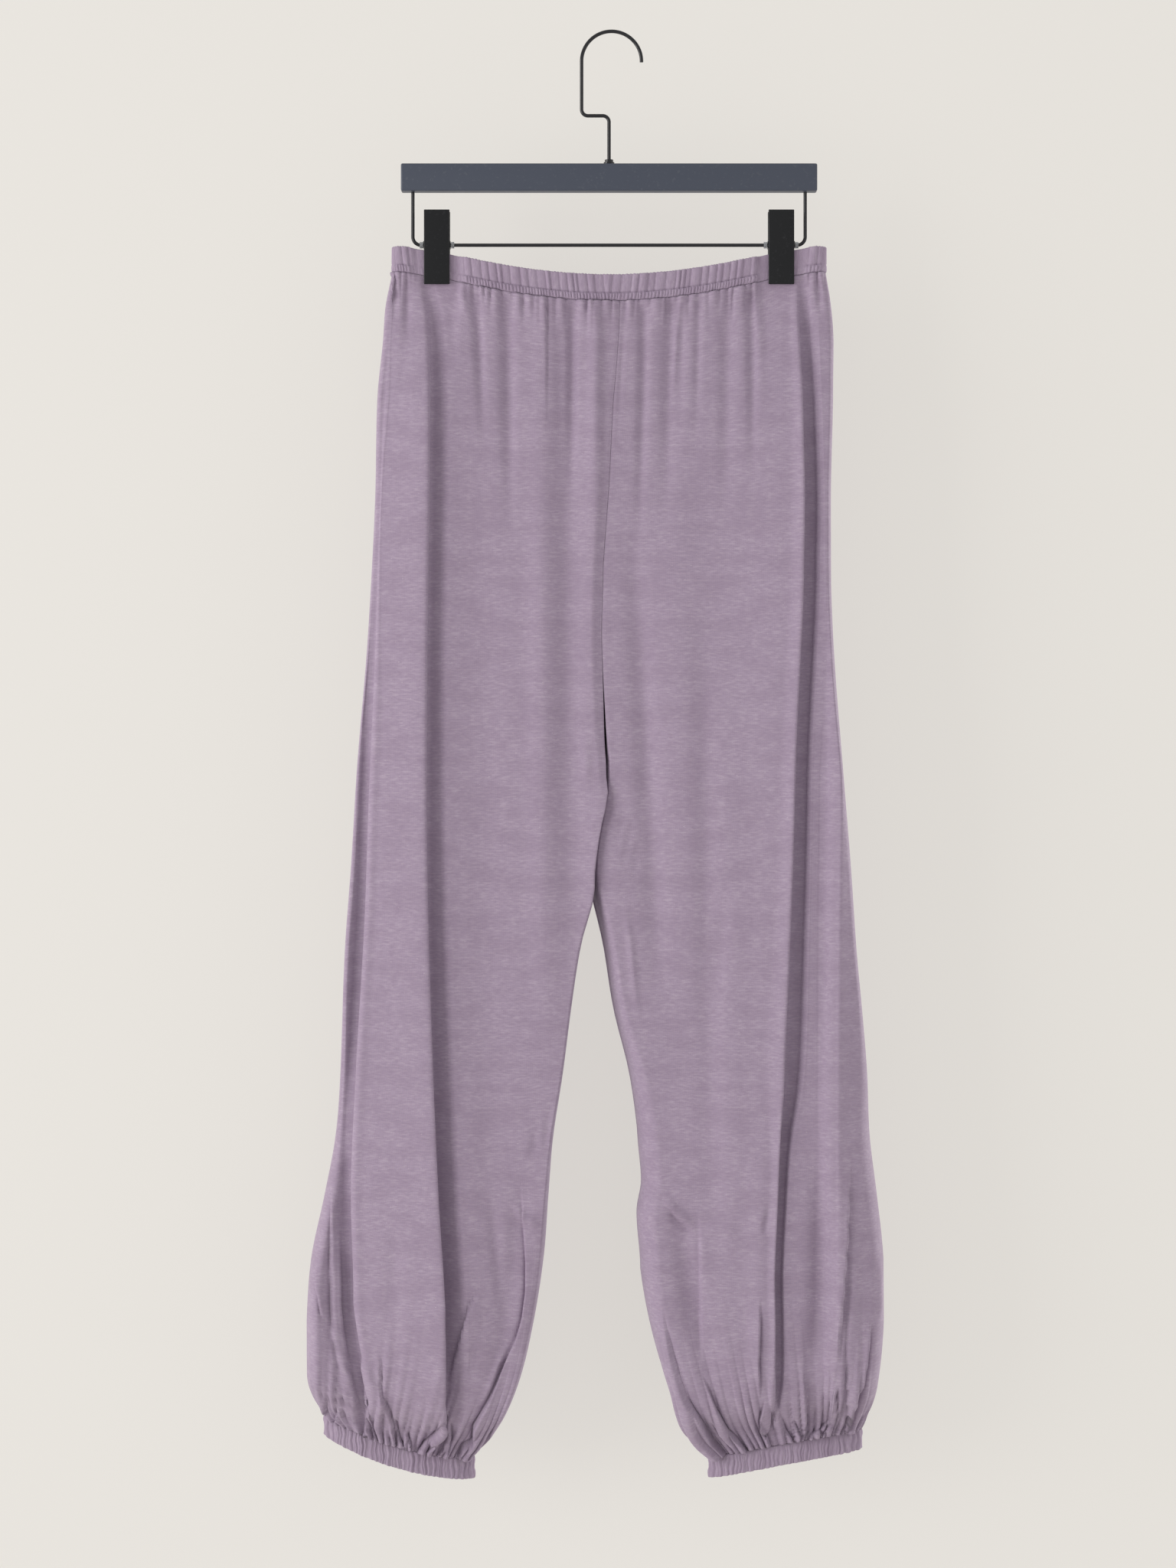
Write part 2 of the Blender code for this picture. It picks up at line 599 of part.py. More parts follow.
def make_half(side, cloth, collection):
    rows, side_seam = half_surface(side)
    normals = surface_normals(side, rows)
    last = len(rows[0]) - 1
    half_gap = SEAM_GAP / 2
    away = side.sign * half_gap
    front_shifts = {0: Vector((away, -half_gap, 0)), side_seam: Vector((0, -half_gap, 0))}
    back_shifts = {side_seam: Vector((0, half_gap, 0)), last: Vector((away, half_gap, 0))}
    panel("front_" + side.name, side, rows, normals, (0, side_seam), front_shifts, cloth,
          collection)
    panel("back_" + side.name, side, rows, normals, (side_seam, last), back_shifts, cloth,
          collection)


def arc(centre_x, centre_z, radius, start, end, steps):
    """Points of an arc in the hanger's plane, angles in degrees from +X towards +Z."""
    points = []
    for index in range(steps + 1):
        angle = math.radians(blend(start, end, index / steps))
        points.append((centre_x + radius * math.cos(angle), centre_z + radius * math.sin(angle)))
    return points


def wire(name, route, diameter, material, collection):
    curve = bpy.data.curves.new(name, "CURVE")
    curve.dimensions = "3D"
    curve.bevel_depth = diameter / 2 * MM
    curve.bevel_resolution = 2
    curve.use_fill_caps = True
    spline = curve.splines.new("POLY")
    spline.points.add(len(route) - 1)
    for point, (x, z) in zip(spline.points, route):
        point.co = (x * MM, 0, z * MM, 1)
    piece = bpy.data.objects.new(name, curve)
    curve.materials.append(material)
    collection.objects.link(piece)
    return piece


def box(name, size, centre, edge, material, collection):
    """A block with rounded edges."""
    mesh = bmesh.new()
    bmesh.ops.create_cube(mesh, size=1.0)
    bmesh.ops.scale(mesh, vec=[length * MM for length in size], verts=mesh.verts)
    piece = new_object(name, mesh, material, collection)
    piece.location = [place * MM for place in centre]
    if edge:
        bevel = piece.modifiers.new("Rounded edges", "BEVEL")
        bevel.width = edge * MM
        bevel.segments = 2
    return piece


def turned(name, profile, location, turn, material, collection):
    """A round piece from a closed profile of (radius, height) pairs."""
    mesh = bmesh.new()
    points = [mesh.verts.new((radius * MM, 0, height * MM)) for radius, height in profile]
    closed = profile[0][0] > 0 and profile[-1][0] > 0
    for first, second in zip(points, points[1:] + (points[:1] if closed else [])):
        mesh.edges.new((first, second))
    piece = new_object(name, mesh, material, collection)
    screw = piece.modifiers.new("Turned", "SCREW")
    screw.steps = 16
    screw.render_steps = 16
    screw.merge_threshold = 0.00001
    screw.use_merge_vertices = True
    screw.use_smooth_shade = True
    piece.location = [place * MM for place in location]
    piece.rotation_euler = turn
    return piece


def make_hook(material, collection):
    left = HOOK_CENTRE_X - HOOK_RADIUS
    crown = HOOK_WIRE / 2 - HOOK_RADIUS
    route = arc(HOOK_CENTRE_X, crown, HOOK_RADIUS, -2, 180, 18)
    route += arc(left + HOOK_BEND, HOOK_JOG + HOOK_BEND, HOOK_BEND, 180, 270, 4)
    route += arc(-HOOK_BEND, HOOK_JOG - HOOK_BEND, HOOK_BEND, 90, 0, 4)
    route.append((0.0, HOOK_FOOT))
    wire("hook", route, HOOK_WIRE, material, collection)


def make_bar(satin, gloss, collection):
    middle = (BAR_TOP + BAR_BOTTOM) / 2
    box("hanger_bar", (BAR_LENGTH, BAR_DEPTH, BAR_TOP - BAR_BOTTOM), (0, 0, middle),
        BAR_EDGE, satin, collection)
    foot = BAR_TOP + SEAM_GAP
    top = HOOK_FOOT - SEAM_GAP
    profile = ((0, top), (FERRULE_WIDTH / 2, top), (FERRULE_WIDTH / 2, foot + FLANGE_HEIGHT),
               (FLANGE_WIDTH / 2, foot + FLANGE_HEIGHT), (FLANGE_WIDTH / 2, foot), (0, foot))
    turned("ferrule", profile, (0, 0, 0), (0, 0, 0), gloss, collection)


def make_clip_frame(material, collection):
    start = BAR_BOTTOM - SEAM_GAP
    bend_z = ROD_HEIGHT + ROD_BEND
    route = [(-ROD_HALF, start)]
    route += arc(-ROD_HALF + ROD_BEND, bend_z, ROD_BEND, 180, 270, 5)
    route += arc(ROD_HALF - ROD_BEND, bend_z, ROD_BEND, 270, 360, 5)
    route.append((ROD_HALF, start))
    wire("clip_rail", route, ROD_WIRE, material, collection)


def make_pivot(name, x, material, collection, cutters):
    """The block inside a clip that its two plates rock on; the rail runs through it."""
    depth = 2 * (CLIP_SEAT - SEAM_GAP)
    piece = box(name, (PIVOT_WIDTH, depth, PIVOT_HEIGHT), (x, 0, ROD_HEIGHT), 0, material,
                collection)
    mesh = bmesh.new()
    bmesh.ops.create_cone(mesh, cap_ends=True, segments=16, radius1=(ROD_WIRE / 2 + SEAM_GAP) * MM,
                          radius2=(ROD_WIRE / 2 + SEAM_GAP) * MM, depth=2 * PIVOT_WIDTH * MM)
    cutter = new_object(name + "_bore", mesh, material, cutters)
    cutter.location = (x * MM, 0, ROD_HEIGHT * MM)
    cutter.rotation_euler = (0, math.pi / 2, 0)
    cutter.hide_render = True
    cutter.display_type = "WIRE"
    cut = piece.modifiers.new("Bore for the rail", "BOOLEAN")
    cut.operation = "DIFFERENCE"
    cut.object = cutter


def make_clip(side_name, sign, satin, clear, collection, cutters):
    x = sign * CLIP_X
    height = CLIP_TOP - CLIP_BOTTOM
    middle = (CLIP_TOP + CLIP_BOTTOM) / 2
    for facing, place in ((-1, "front"), (1, "back")):
        centre = (x, facing * (CLIP_SEAT + CLIP_PLATE / 2), middle)
        box("clip_{}_{}".format(side_name, place), (CLIP_WIDTH, CLIP_PLATE, height), centre,
            CLIP_EDGE, satin, collection)
    make_pivot("clip_{}_pivot".format(side_name), x, satin, collection, cutters)
    inner = ROD_WIRE / 2 + SEAM_GAP
    outer = COLLAR_DIAMETER / 2
    offset = PIVOT_WIDTH / 2 + SEAM_GAP
    for step, place in ((-1, "a"), (1, "b")):
        start = x + step * offset if step > 0 else x - offset - COLLAR_WIDTH
        profile = ((inner, 0), (inner, COLLAR_WIDTH), (outer, COLLAR_WIDTH), (outer, 0))
        turned("collar_{}_{}".format(side_name, place), profile, (start, 0, ROD_HEIGHT),
               (0, math.pi / 2, 0), clear, collection)


def main():
    for piece in list(bpy.data.objects):
        bpy.data.objects.remove(piece)
    collection = bpy.data.collections.new("Sweatpants on a clip hanger")
    cutters = bpy.data.collections.new("Cutters")
    bpy.context.scene.collection.children.link(collection)
    bpy.context.scene.collection.children.link(cutters)
    cloth = make_material("Lilac jersey", LILAC, 0.9, 0.0)
    satin = make_material("Satin black", SATIN_BLACK, 0.35, 0.0)
    gloss = make_material("Gloss black wire", GLOSS_BLACK, 0.25, 0.4)
    clear = make_material("Clear grey plastic", CLEAR_GREY, 0.3, 0.0)
    make_waistband(cloth, collection)
    for side in (LEFT, RIGHT):
        make_half(side, cloth, collection)
        make_cuff(side, cloth, collection)
        make_clip(side.name, side.sign, satin, clear, collection, cutters)
    make_hook(gloss, collection)
    make_bar(satin, gloss, collection)
    make_clip_frame(gloss, collection)


main()
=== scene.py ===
"""Looks of the lilac jersey sweatpants on their black clip hanger.

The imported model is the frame: its front faces -Y, +Z is up, and the origin is
the inside of the hook's crown. Tables are millimetres; MM turns them into metres.
"""

import math
import random
from collections import namedtuple

import bmesh
import bpy
import numpy as np
from bpy.props import FloatProperty, FloatVectorProperty, PointerProperty
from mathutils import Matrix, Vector


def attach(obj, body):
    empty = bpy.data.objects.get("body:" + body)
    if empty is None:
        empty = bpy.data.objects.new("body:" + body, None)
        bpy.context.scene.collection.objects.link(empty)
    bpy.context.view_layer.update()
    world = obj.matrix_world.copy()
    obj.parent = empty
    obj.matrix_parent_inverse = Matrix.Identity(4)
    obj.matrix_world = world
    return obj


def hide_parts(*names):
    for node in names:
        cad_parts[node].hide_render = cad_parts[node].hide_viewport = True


bl_info = {
    "name": "Hung sweatpants",
    "version": (1, 0, 0),
    "blender": (4, 5, 0),
    "location": "3D View > Sidebar > Sweatpants",
    "description": "Dresses the packed sweatpants and their clip hanger in cloth, metal and light",
    "category": "Object",
}

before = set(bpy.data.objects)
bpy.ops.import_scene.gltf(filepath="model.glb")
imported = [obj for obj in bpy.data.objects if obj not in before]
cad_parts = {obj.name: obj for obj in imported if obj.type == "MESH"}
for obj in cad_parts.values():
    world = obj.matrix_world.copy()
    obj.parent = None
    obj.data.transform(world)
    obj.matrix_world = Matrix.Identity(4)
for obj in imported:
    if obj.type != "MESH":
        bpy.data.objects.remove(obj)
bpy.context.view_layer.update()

MM = 0.001

# Cloth walls and seams
CASING_WALL = 2.3
SEAM_GAP = 0.3

# Waistband, an elastic casing that sags between the two clips
WAIST_HALF = 172.5
WAIST_END_TOP = -170.0
WAIST_CLIP_TOP = -173.3
WAIST_MIDDLE_TOP = -193.4
WAIST_HEIGHT = 20.0
WAIST_MIDDLE_HALF_DEPTH = 9.2
WAIST_CLIP_HALF_DEPTH = 3.6
WAIST_END_HALF_DEPTH = 5.2
WAIST_END_ROUNDING = 7.0

# Cuffs, elastic casings at the hems
CUFF_HEIGHT = 16.5
CUFF_HALF_DEPTH = 15.0

# Panels
CROTCH = -606.0
MAIN_COLUMNS = 16
FLAP_COLUMNS = 5
EDGE_COLUMNS = 3
SIDE_ROUNDING = 13.0
BACK_SIDE_ROUNDING = 24.0
INNER_ROUNDING = 17.0
LEG_SLANT = 0.24

# Hanger
HOOK_WIRE = 2.9
HOOK_CENTRE_X = 2.0
HOOK_RADIUS = 23.75
HOOK_JOG = -65.6
HOOK_FOOT = -100.3
HOOK_BEND = 5.0
HOOK_TIP = -2
BAR_LENGTH = 330.0
BAR_DEPTH = 12.0
BAR_TOP = -104.2
BAR_BOTTOM = -126.0
BAR_EDGE = 1.4
ROD_WIRE = 2.8
ROD_HALF = 155.7
ROD_HEIGHT = -168.3
ROD_BEND = 6.5
CLIP_X = 136.5
CLIP_WIDTH = 20.3
CLIP_TOP = -141.0
CLIP_BOTTOM = -200.0
CLIP_PLATE = 2.4
CLIP_SEAT = 4.25
CLIP_EDGE = 0.5
PIVOT_WIDTH = 21.6
COLLAR_WIDTH = 2.6
COLLAR_DIAMETER = 5.2

Line = namedtuple("Line", "height across")
Section = namedtuple("Section", "level front back rounding")
Crease = namedtuple("Crease", "height across depth width", defaults=(1.0,))
FoldPoint = namedtuple("FoldPoint", "across back")
Ridge = namedtuple("Ridge", "top bottom across_top across_bottom width rise")
# One half of the legs: the sign of its x, outlines, deep folds and ridges, the
# heights of its cuff's seam at the inseam and the outer seam, the cuff's bow,
# and the seed of its gathers
Side = namedtuple("Side", "name sign outer inseam flap flap_form roll roll_form ridges "
                          "cuff_inner cuff_outer cuff_bow hem_seed")


def rows(kind, *values):
    """A table: one record of a kind from each row of values."""
    return tuple(kind(*row) for row in values)


# The first and the last row of every panel, as heights in the middle of the body
WAIST_SEAM = WAIST_MIDDLE_TOP - WAIST_HEIGHT - SEAM_GAP
CUFF_SEAM = -1116

# Centre seams, front and back alike, from the waistband to the crotch
CENTRE_SEAM = rows(
    Line, (-190, 8.5), (-231, 8.0), (-263, 6.0), (-298, 3.0), (-358, 0.0), (-430, -5.0), (-478, -6.0),
    (-540, -4.0), (-606, -3.5))

# Depth of the front and back walls from the middle plane, and how far the
# inner edges have turned in from a flat centre seam (0) to a round leg (1)
SECTIONS = rows(
    Section, (-210, 8, 8, 0.0), (-260, 15, 16, 0.0), (-312, 20, 21, 0.0), (-368, 22, 23, 0.0),
    (-438, 24, 24, 0.05), (-500, 25, 24, 0.25), (-558, 26, 24, 0.6), (-606, 26, 24, 1.0),
    (-690, 27, 24, 1.0), (-760, 29, 25, 1.0), (-838, 32, 26, 1.0), (-908, 36, 27, 1.0),
    (-966, 40, 28, 1.0), (-1016, 43, 29, 1.0), (-1056, 41, 29, 1.0), (-1086, 33, 27, 1.0),
    (-1105, 22, 21, 1.0), (-1116, 15, 15, 1.0))

# The flap: a leg's outer front lies over the main front along a deep valley
LEFT_FLAP = rows(
    Crease, (-190, 148, 0.0), (-217, 147, 0.1), (-244, 142, 0.4), (-300, 140, 0.7), (-368, 140.3, 0.75),
    (-500, 142, 0.75), (-606, 142.5, 0.8), (-700, 141.6, 0.9), (-812, 138.6, 1.0), (-913, 134.6, 1.1),
    (-1003, 129.2, 1.15), (-1070, 127.5, 0.9), (-1100, 132, 0.4), (-1116, 139, 0.0))
RIGHT_FLAP = rows(
    Crease, (-190, 151, 0.0), (-217, 153.5, 0.1), (-250, 155, 0.5), (-300, 157.5, 0.8),
    (-368, 158.5, 1.0), (-436, 157.5, 1.0), (-493, 155, 1.0), (-569, 151.3, 1.0),
    (-651, 149.3, 1.0, 1.05), (-732, 146.6, 1.0, 1.15), (-800, 143.9, 1.0, 1.25), (-837, 141.8, 1.0, 1.1),
    (-873, 137.4, 1.0, 0.75), (-925, 134.4, 1.0, 0.6), (-982, 131.8, 1.0, 0.58),
    (-1019, 132.3, 1.0, 0.58), (-1055, 132.5, 0.9, 0.65), (-1082, 130.5, 0.6, 0.7),
    (-1116, 124, 0.0, 0.8))

# Across the left leg's valley: main front, valley, under the flap, its edge, its face
LEFT_FLAP_FORM = rows(
    FoldPoint, (-16, 0.5), (-10, 3.5), (-5, 5.8), (-0.5, 7.2), (2, 6.2), (1.8, 2), (0.6, -3.5),
    (-0.4, -8), (0.8, -10.2), (6, -10), (16, -8))
# Across the right leg's groove: both lips hang over its floor
RIGHT_FLAP_FORM = rows(
    FoldPoint, (-16, -1), (-11, -2.5), (-7.5, -4), (-5.4, -3.6), (-5, 0), (-6.5, 5), (-3.5, 9.5),
    (0, 10.5), (3.8, 9.4), (5.4, 5.6), (7.8, 2.6))

# The roll: the flap turns back at its outer edge and the leg's side shows behind it
LEFT_ROLL = rows(
    Crease, (-190, 168.5, 0.0), (-260, 174, 0.1), (-338, 179, 0.35), (-480, 184, 0.6), (-606, 189.5, 0.8),
    (-700, 192.5, 0.9), (-823, 199, 1.0), (-915, 202.5, 1.0), (-1003, 200, 1.0), (-1070, 190, 0.8),
    (-1100, 184, 0.3), (-1116, 184, 0.0))
RIGHT_ROLL = rows(
    Crease, (-190, 166, 0.0), (-300, 169, 0.0), (-436, 170.5, 0.0), (-490, 171, 0.35),
    (-569, 171.3, 0.85), (-634, 170.8, 1.0), (-700, 170, 1.0), (-800, 169.5, 1.0), (-900, 169.5, 1.0),
    (-1000, 170, 0.9), (-1060, 170, 0.6), (-1100, 168, 0.2), (-1116, 166, 0.0))
LEFT_ROLL_FORM = rows(
    FoldPoint, (-9, -1), (-3.5, -0.5), (-0.5, 2), (0, 5), (-2, 8), (1, 10.5), (6, 11))
RIGHT_ROLL_FORM = rows(
    FoldPoint, (-5.5, 2.0), (-2.5, 0.5), (0, -1.8), (1.5, -3.8), (4, -6.2), (7.5, -8.2), (11, -9.2))

# Soft ridges (rise above 0) and troughs of the main fronts
LEFT_RIDGES = rows(
    Ridge, (-205, -820, 54, 51, 11, 3.2), (-205, -740, 34, 31, 9, -2.6), (-205, -650, 10, 12, 10, 2.8),
    (-300, -1000, 104, 92, 18, -2.0), (-900, -1100, 66, 92, 9, -3.5), (-820, -1080, 112, 110, 14, 2.5))
RIGHT_RIDGES = rows(
    Ridge, (-390, -760, 19, 40, 9, -3.6), (-340, -800, 50, 66, 18, 2.6), (-520, -1060, 92, 96, 16, 2.2),
    (-460, -980, 74, 82, 9, -1.8), (-930, -1100, 52, 88, 9, -3.5), (-860, -1090, 118, 118, 10, 2.0),
    (-230, -1080, 158, 140, 46, 9.0))
# Broad folds of the backs
BACK_RIDGES = rows(
    Ridge, (-260, -820, 40, 56, 13, 3.2), (-280, -1040, 74, 84, 13, -3.4),
    (-250, -980, 112, 122, 15, 3.6), (-420, -1060, 146, 160, 12, -3.8), (-860, -1090, 96, 118, 10, 2.6))

# The photographed outlines of the legs
LEFT_OUTER = rows(
    Line, (-190, 172.5), (-217, 178), (-244, 180), (-290, 184.4), (-368, 186), (-436, 189.2),
    (-500, 193.3), (-581, 200.2), (-660, 205), (-727, 209.9), (-824, 213.5), (-873, 217.2), (-922, 226.3),
    (-970, 236.4), (-1019, 240), (-1062, 240), (-1080, 236), (-1095, 225.5))
LEFT_INSEAM = rows(
    Line, (-606, 3.5), (-632, 9.6), (-658, 13.4), (-682, 15.6), (-725, 24.2), (-775, 31.8), (-825, 37.6),
    (-873, 44), (-922, 47.4), (-970, 51), (-1019, 58.6), (-1067, 70), (-1103, 86), (-1130, 107))
RIGHT_OUTER = rows(
    Line, (-190, 172.5), (-217, 176.8), (-244, 178.8), (-290, 178.3), (-368, 176.4), (-436, 176.5),
    (-500, 179.3), (-581, 185.6), (-660, 192), (-727, 196.5), (-776, 201), (-824, 205), (-873, 207),
    (-922, 212.9), (-970, 217.8), (-1019, 218), (-1056, 215.2), (-1085, 210), (-1106, 200))
RIGHT_INSEAM = rows(
    Line, (-606, -3.5), (-632, -8.6), (-658, -12.2), (-682, -13), (-725, -4.6), (-775, 3.4), (-825, 15.5),
    (-873, 22), (-911, 24.6), (-935, 21), (-980, 24), (-1025, 32), (-1070, 45), (-1105, 58), (-1129, 79))

LEFT = Side("left", -1, LEFT_OUTER, LEFT_INSEAM, LEFT_FLAP, LEFT_FLAP_FORM, LEFT_ROLL, LEFT_ROLL_FORM,
            LEFT_RIDGES, -1129.5, -1095.5, 28, 11)
RIGHT = Side("right", 1, RIGHT_OUTER, RIGHT_INSEAM, RIGHT_FLAP, RIGHT_FLAP_FORM, RIGHT_ROLL,
             RIGHT_ROLL_FORM, RIGHT_RIDGES, -1129.0, -1106.0, -5, 12)

# Shells: the wall of the cloth, and how finely all pieces are divided
SHELL_WALL = 1.2
ROW_BANDS = ((WAIST_SEAM, -300, 46), (-300, -880, 46), (-880, -1040, 48), (-1040, CUFF_SEAM, 56))
MAIN_STEPS = 8
FLAP_STEPS = 3
FACE_STEPS = 6
ROLL_STEPS = 3
SIDE_STEPS = 10
BACK_STEPS = 132
WAIST_STEPS = 1980
CUFF_STEPS = 560
BACK_EVENING = 0.11
RING_SAMPLES = 20001
WAIST_SECTION = (26, 5)
CUFF_SECTION = (16, 4)
CASING_ARC = 8
WIRE_ROUNDNESS = 5
CROWN_STEPS = 60
BEND_STEPS = 14
COLLAR_STEPS = 48
MERGE_DISTANCE = 0.000002
SHARP_ANGLE = 35.0
CLOTH_UV = "Cloth lengths"

# Curves of the waist and the cuffs, and how far the clips' grip reaches past them
WAIST_SAG = 1.9
CUFF_SQUARENESS = 2.6
GRIP_START = CLIP_WIDTH / 2 + 5
GRIP_END = CLIP_WIDTH / 2 + 14

# Room that the flap and the roll keep to the seams and to each other, their
# least width where they close, and how their stations lean
FLAP_ROOM_IN = 12.0
FLAP_ROOM_OUT = 10.0
ROLL_ROOM_IN = 1.5
ROLL_ROOM_OUT = 4.0
CLOSED_WIDTH = 0.6
DEPTH_RESERVE = 0.2
MAIN_LEAN = 1.08
SIDE_LEAN = 0.7

# Heights between which the walls change from one form to the next
WAIST_TO_LEVEL = (WAIST_SEAM, -330)
LEVEL_TO_CUFF = (-966, CUFF_SEAM)
WAIST_TO_HIP = (-217, -312)
LEG_TO_CUFF = (-1080, CUFF_SEAM)
THIGH_TO_SHIN = (-760, -900)
SEAM_TO_INSEAM = (-650, -720)
CLIP_TO_PANEL = (-222, -260)

# The left leg laps over the right one with a tighter edge, and above the knee
# the fronts lie flat almost to their edges
LAPPED_ROUNDING = 4.5
SEAM_ROUNDING = 2.0
SLANT_MIDDLE = 15.0
CROTCH_LAP = 1.5
CROTCH_TUCK = 2.0
CROTCH_PROUD = 3.0
CROTCH_REACH = 9.0
CROTCH_START = (-575, -610)
CROTCH_END = (-670, -720)
LOWER_SLANT = 0.15
SLANT_CHANGE = (-670, -740)
SLANT_MIDDLE_END = (-660, -700)
SLANT_END = (-760, -960)
SLANT_REACH = (4, 36)
THIGH_ROUNDING = 5.5
ROUNDING_POWER = 5

# Distances from a seam over which broad folds, deep folds and fine folds set in
RIDGE_CALM = (0, 9)
FOLD_CALM = (0, 4)
FINE_CALM = (0, 7)
RIDGE_FADE = 0.6

# Seams, and the puckers under the waistband
SEAM_DIP = 0.6
SEAM_WIDTH = 1.4
PUCKER_HALF = 180
PUCKER_PITCH = 6.6
PUCKER_RISE = 2.7
PUCKER_LENGTH = 15.0
PUCKER_UNEVENNESS = 0.45
PUCKER_SHARPNESS = 2.2
PUCKER_HEIGHTS = (0.3, 1.2)
PUCKER_LENGTHS = (0.5, 1.3)
PUCKER_PLACE_SEED = 5
PUCKER_FORM_SEED = 6
BAND_CALM = 0.35
BAND_REACH = (-1, 8)

# Listed folds: their strength, how they fall off to each side in parts
# of their width, and where along them they fade
FOLD_STRENGTH = 1.4
HEM_STRENGTH = 2.15
HEM_START = (-1070, -1100)
FOLD_REACH = 3.5
STEP_DIP = 0.7
STEP_WIDTH = 0.1
STEP_FALL = 1.6
DIP_FALL = 1.8
CREASE_DIP = 1.5
CREASE_FALL = 7
EARLY_FADE = 0.35
LATE_FADE = 0.65
LAP_LIMIT = 2.2
LAP_REACH = 0.55
LAP_WIDTH = 1.5
FAR = 1000.0

# Rows of uneven ribs: how uneven, from how low to how high, how sharp between,
# and the seeds of their places and of their heights
Ribs = namedtuple("Ribs", "unevenness heights sharpness place_seed height_seed")
WAIST_RIBS = Ribs(0.5, (0.3, 1.1), 2.6, 3, 3)
LADDER = Ribs(0.25, (0.6, 1.1), 2.0, 4, 4)
CUFF_RIBS = Ribs(0.6, (0.4, 1.1), 2.0, 21, 22)

# The waistband: ribs of its elastic, and the ladder between its rows of sewing
RIB_PITCH = 6.1
RIB_RISE = 1.5
RIB_LEAN = 0.12
LADDER_HEIGHT = 6.0
LADDER_PITCH = 2.5
LADDER_RISE = 1.3
LADDER_BASE = 0.5
LADDER_EDGE = (LADDER_HEIGHT - 0.5, LADDER_HEIGHT + 0.3)
SEWING_DIP = 1.2
SEWING_WIDTH = 0.45
END_CALM_WIDTH = 9
END_CALM = 0.8
GRIP_CALM = 0.85
LEAST_RELIEF = 0.1
EDGE_SWELL = 0.55
SWELL_REACH = 0.4

# The gathers at the hems, in parts of a cuff's width, and the cuffs' ribs
HEM_GATHER = 0.038
HEM_GATHER_RISE = 6.4
HEM_GATHER_SHARPNESS = 3.4
HEM_GATHER_FALL = 1.4
HEM_GATHER_HEIGHTS = (0.35, 1.2)
HEM_GATHER_LENGTHS = (14.0, 52.0)
HEM_UNEVENNESS = 0.55
HEM_BACK_SEED = 13
HEM_MARGIN = 0.03
CUFF_WAVE = 0.004
CUFF_WAVE_TURN = 40
CUFF_WAVE_DROP = 0.45
CUFF_GATHER_RISE = 0.55
CUFF_RIB_RISE = 1.1
CUFF_RIB_COUNT = 88
CUFF_SEAM_CALM = (-0.5, 1.2)
CUFF_SEAM_RISE = (0, 6)
CUFF_SEAM_SHARE = 0.6

# A listed fold: its kind, how wide and high it is, which part of the
# leg it lies on, which ends fade out, and its path (x, z) seen from the front.
# A step is high on the side it names, with the dark line along its path.
Fold = namedtuple("Fold", "kind width rise part ends path")


def folds(*groups):
    """Folds from groups: a part, its fading ends and rows of kind, width, rise and path."""
    return tuple(Fold(kind, width, rise, part, ends, path)
                 for part, ends, *lines in groups for kind, width, rise, *path in lines)


MAIN = "main"
FACE = "face"

